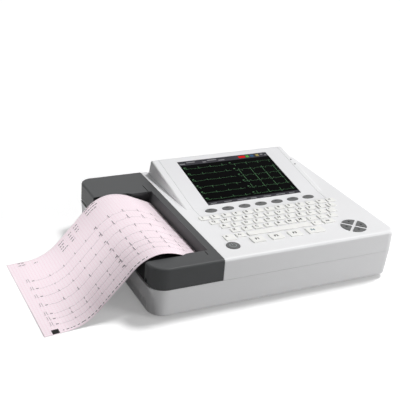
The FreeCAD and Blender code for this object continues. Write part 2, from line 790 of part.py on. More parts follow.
# Lower case: a drafted white tray with the posts, bosses and brackets that carry the rest
LEFT_ROUNDS = ("front_left_round", "corner_round")
tray = prism("tray_block", "xy", case_outline("0", LEFT, LEFT_ROUNDS), ("foot_height", "seam_height"),
             "case_draft", True)
foot_level = value("foot_height")
tray = rounded("tray_shape", tray, "bottom_round", lambda box: near(box.ZMax, foot_level))
tray_room = prism("tray_room", "xy", case_outline("case_wall", f"{LEFT} + case_wall", LEFT_ROUNDS),
                  (FLOOR, "seam_height"), "case_draft", True)
tray_shell = cut("tray_shell", tray, tray_room)
BOSS_LOW = f"({FLOOR} - case_wall / 2)"
tray_posts = [
    rod(f"tray_post_{k}", "z", place, (BOSS_LOW, "seam_height"), "post_radius") for k,
    place in enumerate(SCREWS)
]
board_corners = [
    (x, y)
    for x in ("main_board_left + standoff_inset", "main_board_right - 4 * standoff_inset")
    for y in ("main_board_front + standoff_inset", "main_board_back - standoff_inset")
]
board_posts = [
    rod(f"board_post_{k}", "z", place, (BOSS_LOW, "main_board_height"), "standoff_radius")
    for k, place in enumerate(board_corners)
]
supply_corners = [
    (x, y)
    for x in ("supply_left + standoff_inset", "supply_right - standoff_inset")
    for y in ("supply_front + standoff_inset", "supply_back - standoff_inset")
]
supply_posts = [
    rod(f"supply_post_{k}", "z", place, (BOSS_LOW, "main_board_height"), "standoff_radius")
    for k, place in enumerate(supply_corners)
]
CHASSIS_X = (f"({PLATEN_X} + (platen_radius + head_gap + head_thickness + sink_thickness + spring_length)"
             " * cos(head_angle) - chassis_reach * sin(head_angle))")
CHASSIS_FRONT = f"({PAPER_FRONT} - head_overhang)"
GEAR_FRONT = f"({OPEN_BACK} + cover_wall + flange_thickness + gear_gap)"
PLATE_FRONT = f"({GEAR_FRONT} + gear_width + gear_gap)"
PLATE_BACK = f"({PLATE_FRONT} + motor_plate)"
chassis_corners = [
    (x, y)
    for x in (f"{CHASSIS_X} + 2 * standoff_inset", f"{CHASSIS_X} + chassis_width - standoff_inset")
    for y in (f"{CHASSIS_FRONT} + 2 * standoff_inset", f"{PLATE_BACK} - 3 * standoff_inset")
]
chassis_posts = [
    rod(f"chassis_post_{k}", "z", place, (BOSS_LOW, "chassis_height"), "standoff_radius")
    for k, place in enumerate(chassis_corners)
]
hinge_spans = {
    "front": (f"{OPEN_FRONT} - cover_wall - hinge_gap - hinge_post",
              f"{OPEN_FRONT} - cover_wall - hinge_gap"),
    "rear": (f"{OPEN_BACK} + cover_wall + hinge_gap",
             f"{OPEN_BACK} + cover_wall + hinge_gap + hinge_post"),
}
POST_HALF = "(hinge_inset - cover_wall - 1)"
hinge_posts = []
for name, span in hinge_spans.items():
    stand = block(f"hinge_stand_{name}", (f"{HINGE_X} - {POST_HALF}", f"{HINGE_X} + {POST_HALF}"), span,
                  ("seam_height - hinge_root", HINGE_Z))
    eye = rod(f"hinge_eye_{name}", "y", (HINGE_X, HINGE_Z), span, POST_HALF)
    root = block(f"hinge_root_{name}", (f"{LEFT} + case_wall / 2", f"{HINGE_X} + {POST_HALF}"), span,
                 ("seam_height - hinge_root", "seam_height - seam_gap"))
    hinge_posts += [stand, eye, root]
hinge_bores = [
    rod(f"hinge_bore_{name}", "y", (HINGE_X, HINGE_Z), span, "hinge_pin_radius") for name,
    span in hinge_spans.items()
]
bracket_spans = [
    (f"{PAPER_FRONT} - bracket_gap - bracket_thickness", f"{PAPER_FRONT} - bracket_gap"),
    (f"{PAPER_BACK} + bracket_gap", f"{PAPER_BACK} + bracket_gap + bracket_thickness"),
]
brackets = [
    block(f"roll_bracket_{k}", (f"{ROLL_X} - bracket_half", f"{ROLL_X} + bracket_half"), span,
          (BOSS_LOW, "roll_height + bracket_rise"))
    for k, span in enumerate(bracket_spans)
]
JOURNAL_ROOM = "(journal_radius + journal_play)"
bracket_cuts = []
for k, span in enumerate(bracket_spans):
    bracket_cuts.append(rod(f"journal_seat_{k}", "y", (ROLL_X, "roll_height"), span, JOURNAL_ROOM))
    bracket_cuts.append(block(f"journal_way_{k}",
                              (f"{ROLL_X} - {JOURNAL_ROOM}", f"{ROLL_X} + {JOURNAL_ROOM}"), span,
                              ("roll_height", "roll_height + bracket_rise + 1")))
vents = [
    block(f"vent_{k}", (f"{LEFT} - 1", f"{LEFT} + 5 * case_wall"),
          (f"{FRONT} + vent_start + {k} * vent_pitch",
           f"{FRONT} + vent_start + {k} * vent_pitch + vent_width"),
          ("vent_low", "vent_high"))
    for k in range(int(value("vent_count")))
]
screw_holes = []
for k, place in enumerate(SCREWS):
    screw_holes.append(rod(f"screw_way_{k}", "z", place, ("foot_height - 1", "seam_height + 1"),
                           "screw_radius + screw_play"))
    screw_holes.append(rod(f"screw_sink_{k}", "z", place, ("foot_height - 1", "foot_height + screw_sink"),
                           "screw_head + screw_play"))
door_hole = block("door_hole", ("battery_left - door_gap", "battery_right + door_gap"),
                  ("battery_front - door_gap", "battery_back + door_gap"),
                  ("foot_height - 1", f"{FLOOR} + 1"))

# Side sockets stand on the main board and reach through the drafted right wall
BOARD_TOP = "(main_board_height + board_thickness)"


def wall_inset(z):
    """How far the drafted wall stands in from the seam's outline at a height."""
    return f"((seam_height - ({z})) * tan(case_draft))"


def side_socket(label, y, half, height, length, cavity):
    """A box socket open to the right, and the hole that it needs in the case."""
    face = f"({RIGHT} - {wall_inset(BOARD_TOP)} + side_face)"
    z = (BOARD_TOP, f"{BOARD_TOP} + {height}")
    body = block(f"{label}_body", (f"{face} - {length}", face), (f"{y} - {half}", f"{y} + {half}"), z)
    hollow = block(f"{label}_hollow", (f"{face} - {cavity}", f"{face} + 1"),
                   (f"{y} - {half} + socket_wall", f"{y} + {half} - socket_wall"),
                   (f"{z[0]} + socket_wall", f"{z[1]} - socket_wall"))
    hole = block(f"{label}_hole", (f"{face} - {length} + case_wall", f"{RIGHT} + 1"),
                 (f"{y} - {half} - screw_play", f"{y} + {half} + screw_play"),
                 (f"{z[0]} - screw_play", f"{z[1]} + screw_play"))
    return cut(f"{label}_shell", body, hollow), hole


patient, patient_hole = side_socket("patient", "patient_y", "patient_half", "patient_height",
                                    "patient_length",
                                    "patient_cavity")
usb = [side_socket(f"usb_{k}", f"(usb_y + {k} * usb_pitch)", "usb_half", "usb_height", "usb_length",
                   "(usb_length - 2 * socket_wall)") for k in range(2)]
network, network_hole = side_socket("network", "network_y", "network_half", "network_height",
                                    "network_length",
                                    "(network_length - 2 * socket_wall)")

# Connector plate: the right wall round the side sockets, moulded apart and let into the tray
def plate_block(label, gap):
    """The room of the connector plate in the right wall, smaller all round by a gap."""
    return block(label, (f"{RIGHT} - plate_reach", f"{RIGHT} + 1"),
                 (f"patient_y - patient_half - plate_margin + {gap}",
                  f"network_y + network_half + plate_margin - {gap}"),
                 (f"plate_low + {gap}", f"plate_high - {gap}"))


plate_room = plate_block("plate_room", "0")
plate_wall = doc.addObject("Part::Common", "plate_wall")
plate_wall.Base = tray_shell
plate_wall.Tool = plate_block("plate_part", "plate_gap")
node("connector_plate", cut("plate_pierced", plate_wall, patient_hole, usb[0][1], usb[1][1], network_hole))

# Mains inlet module: a shrouded inlet and a rocker switch in one frame, let into the rear wall
INLET_FACE = f"({BACK} - {wall_inset('inlet_low + inlet_height / 2')} + side_face)"
INLET_TOP = "(inlet_low + inlet_height)"
SWITCH_X = "(inlet_x - inlet_half - switch_half - inlet_wall)"
SWITCH_MID = "(inlet_low + inlet_height / 2)"
module_x = (f"{SWITCH_X} - switch_half - inlet_wall", "inlet_x + inlet_half")
module = block("inlet_block", module_x, (f"{INLET_FACE} - inlet_depth", INLET_FACE),
               ("inlet_low", INLET_TOP))
inlet_room = block("inlet_room",
                   ("inlet_x - inlet_half + inlet_wall", "inlet_x + inlet_half - inlet_wall"),
                   (f"{INLET_FACE} - inlet_cavity", f"{INLET_FACE} + 1"),
                   ("inlet_low + inlet_wall", f"{INLET_TOP} - inlet_wall"))
switch_room = block("switch_room", (f"{SWITCH_X} - switch_half", f"{SWITCH_X} + switch_half"),
                    (f"{INLET_FACE} - inlet_cavity", f"{INLET_FACE} + 1"),
                    ("inlet_low + inlet_wall", f"{INLET_TOP} - inlet_wall"))
SWITCH_Y = f"({INLET_FACE} - switch_half)"
switch_pin = rod("switch_pin", "x", (SWITCH_Y, SWITCH_MID),
                 (f"{SWITCH_X} - switch_half", f"{SWITCH_X} + switch_half"),
                 "switch_pin")
blades = [
    block(f"inlet_blade_{k}",
          (f"inlet_x + {k} * blade_pitch - socket_wall", f"inlet_x + {k} * blade_pitch"),
          (f"{INLET_FACE} - inlet_cavity", f"{INLET_FACE} - inlet_cavity / 4"),
          (f"{SWITCH_MID} - inlet_wall", f"{SWITCH_MID} + inlet_wall"))
    for k in (-1, 0, 1)
]
node("mains_inlet",
     fuse("inlet_module", cut("inlet_frame", module, inlet_room, switch_room), switch_pin, *blades))
inlet_hole = block("inlet_hole", (f"{module_x[0]} - screw_play", f"{module_x[1]} + screw_play"),
                   (f"{INLET_FACE} - inlet_depth + 4 * case_wall", f"{BACK} + 1"),
                   ("inlet_low - screw_play", f"{INLET_TOP} + screw_play"))
rocker = prism("rocker_form", "yz", [
    (f"{SWITCH_Y} - switch_half / 2", f"{SWITCH_MID} - inlet_height / 2 + inlet_wall + 2 * switch_play"),
    (f"{INLET_FACE} + switch_half / 4",
     f"{SWITCH_MID} - inlet_height / 2 + inlet_wall + 2 * switch_play"),
    (f"{INLET_FACE}", SWITCH_MID),
    (f"{INLET_FACE} + switch_half / 4",
     f"{SWITCH_MID} + inlet_height / 2 - inlet_wall - 2 * switch_play"),
    (f"{SWITCH_Y} - switch_half / 2", f"{SWITCH_MID} + inlet_height / 2 - inlet_wall - 2 * switch_play"),
], (f"{SWITCH_X} - switch_half + switch_play", f"{SWITCH_X} + switch_half - switch_play"))
rocker_bore = rod("rocker_bore", "x", (SWITCH_Y, SWITCH_MID),
                  (f"{SWITCH_X} - switch_half", f"{SWITCH_X} + switch_half"), "switch_pin + shaft_play")
node("mains_switch", cut("rocker", rocker, rocker_bore))

# Equipotential pin: a plain earthing stud with a collar outside and a nut inside the rear wall
EARTH_FACE = f"({BACK} - {wall_inset('pin_height - earth_nut_radius')})"
earth_rod = rod("earth_rod", "y", ("pin_x", "pin_height"),
                (f"{EARTH_FACE} - earth_wall - earth_nut", f"{EARTH_FACE} + earth_nut + earth_pin_reach"),
                "earth_pin_radius")
earth_collar = rod("earth_collar", "y", ("pin_x", "pin_height"),
                   (EARTH_FACE, f"{EARTH_FACE} + earth_nut"),
                   "earth_nut_radius")
earth_nut = rod("earth_nut_inside", "y", ("pin_x", "pin_height"),
                (f"{EARTH_FACE} - earth_wall - earth_nut", f"{EARTH_FACE} - earth_wall"),
                "earth_nut_radius")
node("equipotential_pin", fuse("earth_stud", earth_rod, earth_collar, earth_nut))
earth_pad = rod("earth_pad", "y", ("pin_x", "pin_height"), (f"{EARTH_FACE} - earth_wall", EARTH_FACE),
                "earth_nut_radius + case_wall")
earth_hole = rod("earth_hole", "y", ("pin_x", "pin_height"),
                 (f"{EARTH_FACE} - 4 * case_wall", f"{EARTH_FACE} + 1"),
                 "earth_pin_radius")
earth_recess = rod("earth_recess", "y", ("pin_x", "pin_height"),
                   (EARTH_FACE, f"{EARTH_FACE} + 4 * case_wall"),
                   "earth_nut_radius + screw_play")

lower_mass = fuse("lower_mass", tray_shell, earth_pad, *tray_posts, *board_posts, *supply_posts,
                  *chassis_posts,
                  *hinge_posts, *brackets)
lower_cut = cut("lower_cut", lower_mass, *hinge_bores, *bracket_cuts, *screw_holes, door_hole, plate_room,
                inlet_hole, earth_hole, earth_recess)
node("lower_case", cut("lower_vented", lower_cut, group("vents", vents)))
node("patient_socket", patient)
node("usb_sockets", group("usb_pair", [shell for shell, hole in usb]))
node("network_socket", network)

# Feet: four rubber discs stuck under the floor
FOOT_LEFT = f"({LEFT} + foot_inset)"
FOOT_RIGHT = f"({RIGHT} - foot_inset)"
node("feet", group("foot_discs", [
    rod(f"foot_{k}", "z",
        (x, f"{side_y} * (case_depth / 2 - foot_inset)"), ("0", "foot_height"), "foot_radius")
    for k, (x, side_y) in enumerate([(FOOT_LEFT, -1), (FOOT_RIGHT, -1), (FOOT_RIGHT, 1), (FOOT_LEFT, 1)])
]))

# Case screws: driven from below through the lower posts into the upper ones
screws = []
for k, place in enumerate(SCREWS):
    shank = rod(f"screw_shank_{k}", "z", place, ("foot_height + screw_sink", f"{COVER_LOW} + screw_grip"),
                "screw_radius")
    head = rod(f"screw_head_{k}", "z", place,
               ("foot_height + screw_sink / 3", "foot_height + screw_sink"), "screw_head")
    screws.append(fuse(f"screw_{k}", shank, head))
node("case_screws", group("screw_set", screws))

# Battery pack on its door in the floor
node("battery_door",
     block("door_plate", ("battery_left", "battery_right"), ("battery_front", "battery_back"),
                           ("foot_height", FLOOR)))
node("battery_pack", block("pack_block", ("battery_left + door_lip", "battery_right - door_lip"),
                           ("battery_front + door_lip", "battery_back - door_lip"),
                           (FLOOR, f"{FLOOR} + battery_thickness")))

# Boards and speaker
node("main_board", block("main_sheet", ("main_board_left", "main_board_right"),
                         ("main_board_front", "main_board_back"), ("main_board_height", BOARD_TOP)))
supply_sheet = block("supply_sheet", ("supply_left", "supply_right"), ("supply_front", "supply_back"),
                     ("main_board_height", BOARD_TOP))
SUPPLY_MID = "((supply_front + supply_back) / 2)"
transformer = block("transformer", ("supply_right - 4 * standoff_inset - supply_rise",
                                    "supply_right - 4 * standoff_inset"),
                    ("supply_front + standoff_inset", "supply_back - standoff_inset"),
                    (BOARD_TOP, f"{BOARD_TOP} + supply_rise"))
capacitors = [
    rod(f"capacitor_{k}", "z", (f"supply_left + ({k} + 1) * supply_rise", SUPPLY_MID),
        (BOARD_TOP, f"{BOARD_TOP} + supply_rise"), "supply_rise / 3")
    for k in range(2)
]
node("power_supply", fuse("supply_unit", supply_sheet, transformer, *capacitors))
speaker_cone = rod("speaker_rim", "z", ("speaker_x", "speaker_y"),
                   (FLOOR, f"{FLOOR} + speaker_height / 3"),
                   "speaker_radius")
speaker_magnet = rod("speaker_magnet", "z", ("speaker_x", "speaker_y"),
                     (f"{FLOOR} + speaker_height / 3", f"{FLOOR} + speaker_height"), "speaker_radius / 2")
node("speaker", fuse("speaker_unit", speaker_cone, speaker_magnet))

# Recorder cover: a dark frame round the paper channel, open to the left, hinged along its left edge
COVER_TOP = "deck_height"
frame_block = prism("frame_block", "xy", [
    (LEFT, FRONT, "front_left_round"), (COVER_RIGHT, FRONT), (COVER_RIGHT, BACK),
    (LEFT, BACK, "corner_round"),
], (COVER_LOW, COVER_TOP))
cover_right = value(COVER_RIGHT)
frame_block = rounded("frame_soft", frame_block, "cover_round",
                      lambda box: near(box.ZMin, deck_top) and not near(box.XMin, cover_right))
ROOF = "(deck_height - cover_wall)"
arm_rooms = [
    prism("front_arm_room", "xy", [
        (f"{LEFT} + cover_wall", f"{FRONT} + cover_wall", "front_left_round - cover_wall"),
        (f"{COVER_RIGHT} - cover_wall", f"{FRONT} + cover_wall"),
        (f"{COVER_RIGHT} - cover_wall", f"{OPEN_FRONT} - cover_wall"),
        (f"{LEFT} + cover_wall", f"{OPEN_FRONT} - cover_wall"),
    ], (f"{COVER_LOW} - 1", ROOF)),
    prism("rear_arm_room", "xy", [
        (f"{LEFT} + cover_wall", f"{OPEN_BACK} + cover_wall"),
        (f"{COVER_RIGHT} - cover_wall", f"{OPEN_BACK} + cover_wall"),
        (f"{COVER_RIGHT} - cover_wall", f"{BACK} - cover_wall"),
        (f"{LEFT} + cover_wall", f"{BACK} - cover_wall", "corner_round - cover_wall"),
    ], (f"{COVER_LOW} - 1", ROOF)),
]
BEAM_LOW = "(deck_height - beam_drop)"
channel = prism("channel", "xz", [
    (f"{LEFT} - 1", f"{COVER_LOW} - 1"),
    (f"{COVER_RIGHT} + 1", f"{COVER_LOW} - 1"),
    (f"{COVER_RIGHT} + 1", BEAM_LOW),
    (f"{COVER_RIGHT} - beam_foot", BEAM_LOW),
    (f"{COVER_RIGHT} - beam_top", f"{COVER_TOP} + 1"),
    (f"{LEFT} - 1", f"{COVER_TOP} + 1"),
], (OPEN_FRONT, OPEN_BACK))
beam_room = prism("beam_room", "xz", [
    (f"{COVER_RIGHT} - beam_foot + cover_wall", f"{BEAM_LOW} - 1"),
    (f"{COVER_RIGHT} - cover_wall", f"{BEAM_LOW} - 1"),
    (f"{COVER_RIGHT} - cover_wall", ROOF),
    (f"{COVER_RIGHT} - beam_top + cover_wall", ROOF),
], (OPEN_FRONT, OPEN_BACK))
hinge_corner = cut("hinge_corner",
                   block("hinge_corner_block", (f"{LEFT} - 1", HINGE_X), (f"{FRONT} - 1", f"{BACK} + 1"),
                                         (f"{COVER_LOW} - 1", HINGE_Z)),
                   rod("hinge_round", "y", (HINGE_X, HINGE_Z), (f"{FRONT} - 2", f"{BACK} + 2"),
                       "hinge_inset"))
notches = [
    block("hinge_notch_front", (f"{LEFT} - 1", HINGE_X),
          (f"{hinge_spans['front'][0]} - 1", f"{OPEN_FRONT} - cover_wall"),
          (f"{COVER_LOW} - 1", f"{HINGE_Z} + hinge_notch")),
    block("hinge_notch_rear", (f"{LEFT} - 1", HINGE_X),
          (f"{OPEN_BACK} + cover_wall", f"{hinge_spans['rear'][1]} + 1"),
          (f"{COVER_LOW} - 1", f"{HINGE_Z} + hinge_notch")),
]
pin_bores = [
    rod("pin_bore_front", "y", (HINGE_X, HINGE_Z),
        (f"{OPEN_FRONT} - cover_wall - 1", f"{OPEN_FRONT} - cover_wall / 4"),
        "hinge_pin_radius + hinge_play"),
    rod("pin_bore_rear", "y", (HINGE_X, HINGE_Z),
        (f"{OPEN_BACK} + cover_wall / 4", f"{OPEN_BACK} + cover_wall + 1"),
        "hinge_pin_radius + hinge_play"),
]
bearing_holes = [
    rod("bearing_hole_front", "y", (PLATEN_X, PLATEN_Z),
        (f"{OPEN_FRONT} - cover_wall - 1", f"{OPEN_FRONT} + 1"),
        "bearing_radius"),
    rod("bearing_hole_rear", "y", (PLATEN_X, PLATEN_Z),
        (f"{OPEN_BACK} - 1", f"{OPEN_BACK} + cover_wall + 1"),
        "bearing_radius"),
]
SLIT_X = f"({COVER_RIGHT} - slit_inset)"
slits = [
    block("slit_front", (SLIT_X, f"{SLIT_X} + slit_width"),
          (f"{OPEN_FRONT} - slit_front", f"{OPEN_FRONT} + lip_reach + 1"),
          (f"{ROOF} - lip_thickness", f"{COVER_TOP} + 1")),
    block("slit_rear", (SLIT_X, f"{SLIT_X} + slit_width"),
          (f"{OPEN_BACK} - lip_reach - 1", f"{OPEN_BACK} + slit_rear"),
          (f"{ROOF} - lip_thickness", f"{COVER_TOP} + 1")),
]
LIP_RIGHT = f"({COVER_RIGHT} - beam_top - cover_wall / 4)"
lips = [
    prism("lip_front", "xy", [
        (f"{LIP_RIGHT} - lip_length - 2 * lip_reach", OPEN_FRONT),
        (f"{LIP_RIGHT} + cover_wall", OPEN_FRONT),
        (f"{LIP_RIGHT} + cover_wall", f"{OPEN_FRONT} + lip_reach"),
        (f"{LIP_RIGHT} - lip_length", f"{OPEN_FRONT} + lip_reach", "lip_reach"),
    ], (f"{COVER_TOP} - lip_thickness", COVER_TOP)),
    prism("lip_rear", "xy", [
        (f"{LIP_RIGHT} + cover_wall", OPEN_BACK),
        (f"{LIP_RIGHT} - lip_length - 2 * lip_reach", OPEN_BACK),
        (f"{LIP_RIGHT} - lip_length", f"{OPEN_BACK} - lip_reach", "lip_reach"),
        (f"{LIP_RIGHT} + cover_wall", f"{OPEN_BACK} - lip_reach"),
    ], (f"{COVER_TOP} - lip_thickness", COVER_TOP)),
]
frame_shell = cut("frame_shell", frame_block, *arm_rooms, channel, beam_room)
node("recorder_cover",
     cut("cover_cut", fuse("cover_mass", frame_shell, *lips), hinge_corner, *notches, *pin_bores,
                           *bearing_holes, *slits))
node("hinge_pins", group("pin_pair", [
    rod("pin_front", "y", (HINGE_X, HINGE_Z), (hinge_spans["front"][0], f"{OPEN_FRONT} - pin_hold"),
        "hinge_pin_radius"),
    rod("pin_rear", "y", (HINGE_X, HINGE_Z), (f"{OPEN_BACK} + pin_hold", hinge_spans["rear"][1]),
        "hinge_pin_radius"),
]))

# Deck of the paper channel: a curved plate between the arms, falling away to the left
DECK_TOP = "(deck_height - deck_drop)"
DECK_RIGHT = f"({PLATEN_X} - platen_radius - deck_gap)"
DECK_RISE = "(beam_drop - deck_drop + deck_tuck)"
DECK_LEFT = f"({LEFT} + deck_gap)"
DECK_TOE = f"({HINGE_Z} - hinge_inset / 2)"
node("cover_deck", prism("deck_plate", "xz", [
    (DECK_RIGHT, f"{DECK_TOP} - {DECK_RISE}"),
    (f"{DECK_RIGHT} - deck_start", DECK_TOP, "deck_bend"),
    (f"{DECK_LEFT} + deck_fall", DECK_TOP, "deck_fall_bend"),
    (DECK_LEFT, DECK_TOE),
    (f"{DECK_LEFT} + deck_thickness", DECK_TOE),
    (f"{DECK_LEFT} + deck_fall + deck_fall_lean", f"{DECK_TOP} - deck_thickness",
     "deck_fall_bend - deck_thickness"),
    (f"{DECK_RIGHT} - deck_start", f"{DECK_TOP} - deck_thickness", "deck_bend + deck_thickness"),
    (DECK_RIGHT, f"{DECK_TOP} - {DECK_RISE} - deck_thickness"),
], (OPEN_FRONT, OPEN_BACK)))

# Tear bar: a thin steel strip under the foot of the beam
node("tear_bar",
     block("tear_strip", (f"{COVER_RIGHT} - beam_foot", f"{COVER_RIGHT} - beam_foot + tear_bar_width"),
                       (f"{OPEN_FRONT} + paper_side / 2", f"{OPEN_BACK} - paper_side / 2"),
                       (f"{BEAM_LOW} - tear_bar_thickness", BEAM_LOW)))

# Platen roller in two flanged bearings of the cover, with its gear inside the rear arm
platen_at = (PLATEN_X, PLATEN_Z)
SHAFT_FRONT = f"({OPEN_FRONT} - cover_wall - gear_gap)"
SHAFT_BACK = f"({GEAR_FRONT} + gear_width)"
node("platen_shaft", rod("shaft_rod", "y", platen_at, (SHAFT_FRONT, SHAFT_BACK), "platen_shaft"))
rubber_span = (f"{PAPER_FRONT} - platen_overhang", f"{PAPER_BACK} + platen_overhang")
node("platen_rubber",
     cut("rubber_sleeve", rod("rubber_rod", "y", platen_at, rubber_span, "platen_radius"),
                          rod("rubber_bore", "y", platen_at, rubber_span, "platen_shaft")))
bearings = []
for name, wall, flange in (
    ("front", (f"{OPEN_FRONT} - cover_wall", OPEN_FRONT),
     (OPEN_FRONT, f"{OPEN_FRONT} + flange_thickness")),
    ("rear", (OPEN_BACK, f"{OPEN_BACK} + cover_wall"), (f"{OPEN_BACK} - flange_thickness", OPEN_BACK)),
):
    sleeve = rod(f"bearing_sleeve_{name}", "y", platen_at, wall, "bearing_radius")
    collar = rod(f"bearing_collar_{name}", "y", platen_at, flange, "bearing_flange")
    bore = rod(f"bearing_bore_{name}", "y", platen_at,
               (f"{wall[0]} - cover_wall", f"{wall[1]} + cover_wall"),
               "platen_shaft + shaft_play")
    bearings.append(cut(f"bearing_{name}", fuse(f"bearing_body_{name}", sleeve, collar), bore))
node("platen_bearings", group("bearing_pair", bearings))


def gear(label, teeth, bore, span, centre):
    """A spur gear round a Y axis, with a tooth on +X, involute flanks and some backlash."""
    module = value("gear_module")
    count = int(value(teeth))
    pitch = module * count / 2
    pressure = math.radians(value("gear_pressure"))
    base = pitch * math.cos(pressure)
    tip = pitch + value("gear_addendum") * module
    root = pitch - value("gear_dedendum") * module
    half_tooth = math.pi / (2 * count) - value("gear_backlash") / (2 * pitch)

    def involute(radius):
        tangent = math.sqrt(max((radius / base) ** 2 - 1, 0))
        return tangent - math.atan(tangent)

    def spot(radius, angle):
        return Vector(radius * math.cos(angle), 0, radius * math.sin(angle))

    def half_angle(radius):
        return half_tooth + involute(pitch) - involute(max(radius, base))

    start = max(base, root)
    between = (start + tip) / 2
    edges = []
    for k in range(count):
        middle = 2 * math.pi * k / count
        low = [spot(root, middle - half_angle(start)), spot(root, middle + half_angle(start))]
        foot = [spot(start, middle - half_angle(start)), spot(start, middle + half_angle(start))]
        flank = [spot(between, middle - half_angle(between)), spot(between, middle + half_angle(between))]
        crest = [spot(tip, middle - half_angle(tip)), spot(tip, middle + half_angle(tip))]
        if start > root:
            edges.append(Part.LineSegment(low[0], foot[0]).toShape())
        edges.append(Part.Arc(foot[0], flank[0], crest[0]).toShape())
        edges.append(Part.Arc(crest[0], spot(tip, middle), crest[1]).toShape())
        edges.append(Part.Arc(crest[1], flank[1], foot[1]).toShape())
        if start > root:
            edges.append(Part.LineSegment(foot[1], low[1]).toShape())
        following = middle + 2 * math.pi / count
        edges.append(Part.Arc(low[1], spot(root, middle + math.pi / count),
                              spot(root, following - half_angle(start))).toShape())
    face = Part.Face(Part.Wire(Part.__sortEdges__(edges)))
    width = value(span[1]) - value(span[0])
    hole = Part.makeCylinder(value(bore), width, Vector(), Vector(0, 1, 0))
    thing = doc.addObject("Part::Feature", label)
    thing.Shape = face.extrude(Vector(0, width, 0)).cut(hole)
    thing.Placement = Placement(Vector(value(centre[0]), value(span[0]), value(centre[1])), Rotation())
    return node(label, thing)


MOTOR_Z = f"({PLATEN_Z} - gear_module * (gear_teeth + pinion_teeth) / 2 - gear_spread)"
gear("platen_gear", "gear_teeth", "platen_shaft", (GEAR_FRONT, SHAFT_BACK), platen_at)
pinion_span = (f"{GEAR_FRONT} - pinion_extra", f"{GEAR_FRONT} + gear_width + pinion_extra")
gear("motor_pinion", "pinion_teeth", "pinion_bore", pinion_span, (PLATEN_X, MOTOR_Z))
motor_can = rod("motor_can", "y", (PLATEN_X, MOTOR_Z), (PLATE_BACK, f"{PLATE_BACK} + motor_length"),
                "motor_radius")
motor_shaft = rod("motor_shaft", "y", (PLATEN_X, MOTOR_Z), (pinion_span[0], PLATE_BACK),
                  "pinion_bore - shaft_play")
node("drive_motor", fuse("motor_unit", motor_can, motor_shaft))

# Print head: a ceramic bar on a finned heat sink, pushed at the platen by springs from the chassis
HEAD_FACE = "(platen_radius + head_gap)"
SINK_FACE = f"({HEAD_FACE} + head_thickness)"
SINK_BACK = f"({SINK_FACE} + sink_thickness)"
CHASSIS_FACE = f"({SINK_BACK} + spring_length)"
head_y = (f"{PAPER_FRONT} - head_overhang / 2", f"{PAPER_BACK} + head_overhang / 2")
node("print_head",
     beside_platen("head_bar", (HEAD_FACE, SINK_FACE), ("-head_reach", "head_reach"), head_y))
node("head_heat_sink",
     beside_platen("sink_bar", (SINK_FACE, SINK_BACK), ("-head_reach", "head_reach"), head_y))
springs = []
for k in (-1, 0, 1):
    tubes = []
    for name, radius in (("outer", "spring_radius"), ("inner", "spring_radius - spring_wall")):
        tube = doc.addObject("Part::Cylinder", f"spring_{name}_{k + 1}")
        tube.Placement = Placement(Vector(), Rotation(Vector(0, 1, 0), 1))
        bind(tube, "Placement.Rotation.Angle", "90 + head_angle")
        bind(tube, "Radius", radius)
        bind(tube, "Height", "spring_length")
        bind(tube, "Placement.Base.x", f"{PLATEN_X} + {SINK_BACK} * cos(head_angle)")
        bind(tube, "Placement.Base.y", f"({PAPER_FRONT} + {PAPER_BACK}) / 2 + {k} * spring_pitch")
        bind(tube, "Placement.Base.z", f"{PLATEN_Z} - {SINK_BACK} * sin(head_angle)")
        tubes.append(tube)
    springs.append(cut(f"spring_{k + 1}", *tubes))
node("head_springs", group("spring_set", springs))

# Printer chassis: a bent steel sheet behind the head, with the motor's plate at its rear end
chassis_base = block("chassis_base", (CHASSIS_X, f"{CHASSIS_X} + chassis_width"),
                     (CHASSIS_FRONT, PLATE_BACK),
                     ("chassis_height", "chassis_height + chassis_sheet"))
chassis_wall = beside_platen("chassis_wall", (CHASSIS_FACE, f"{CHASSIS_FACE} + chassis_sheet"),
                             ("-chassis_reach - head_reach", "head_reach"), (CHASSIS_FRONT, PLATE_BACK))
chassis_trim = block("chassis_trim", (f"{CHASSIS_X} - case_depth", f"{CHASSIS_X} + case_depth"),
                     (f"{CHASSIS_FRONT} - 1", f"{PLATE_BACK} + 1"), ("-chassis_reach", "chassis_height"))
motor_plate = block("motor_plate", (f"{PLATEN_X} - motor_plate_half", f"{CHASSIS_X} + chassis_width"),
                    (PLATE_FRONT, PLATE_BACK), ("chassis_height", "seam_height - chassis_sheet"))
plate_hole = rod("plate_hole", "y", (PLATEN_X, MOTOR_Z), (f"{PLATE_FRONT} - 1", PLATE_BACK),
                 "pinion_bore + screw_play")
chassis_bent = fuse("chassis_bent", chassis_base,
                    cut("chassis_wall_trimmed", chassis_wall, chassis_trim), motor_plate)
node("printer_chassis", cut("chassis", chassis_bent, plate_hole))

# Paper roll on its core and spindle, whose journals run in the brackets of the lower case
roll_at = (ROLL_X, "roll_height")
roll_span = (PAPER_FRONT, PAPER_BACK)
node("paper_roll", cut("roll_ring", rod("roll_rod", "y", roll_at, roll_span, "roll_radius"),
                       rod("roll_bore", "y", roll_at, roll_span, "core_radius")))
node("roll_core", cut("core_ring", rod("core_rod", "y", roll_at, roll_span, "core_radius"),
                      rod("core_bore", "y", roll_at, roll_span, "spindle_radius")))
journal = rod("journal_rod", "y", roll_at, (bracket_spans[0][0], bracket_spans[1][1]), "journal_radius")
node("roll_spindle",
     fuse("spindle", rod("spindle_rod", "y", roll_at, roll_span, "spindle_radius"), journal))


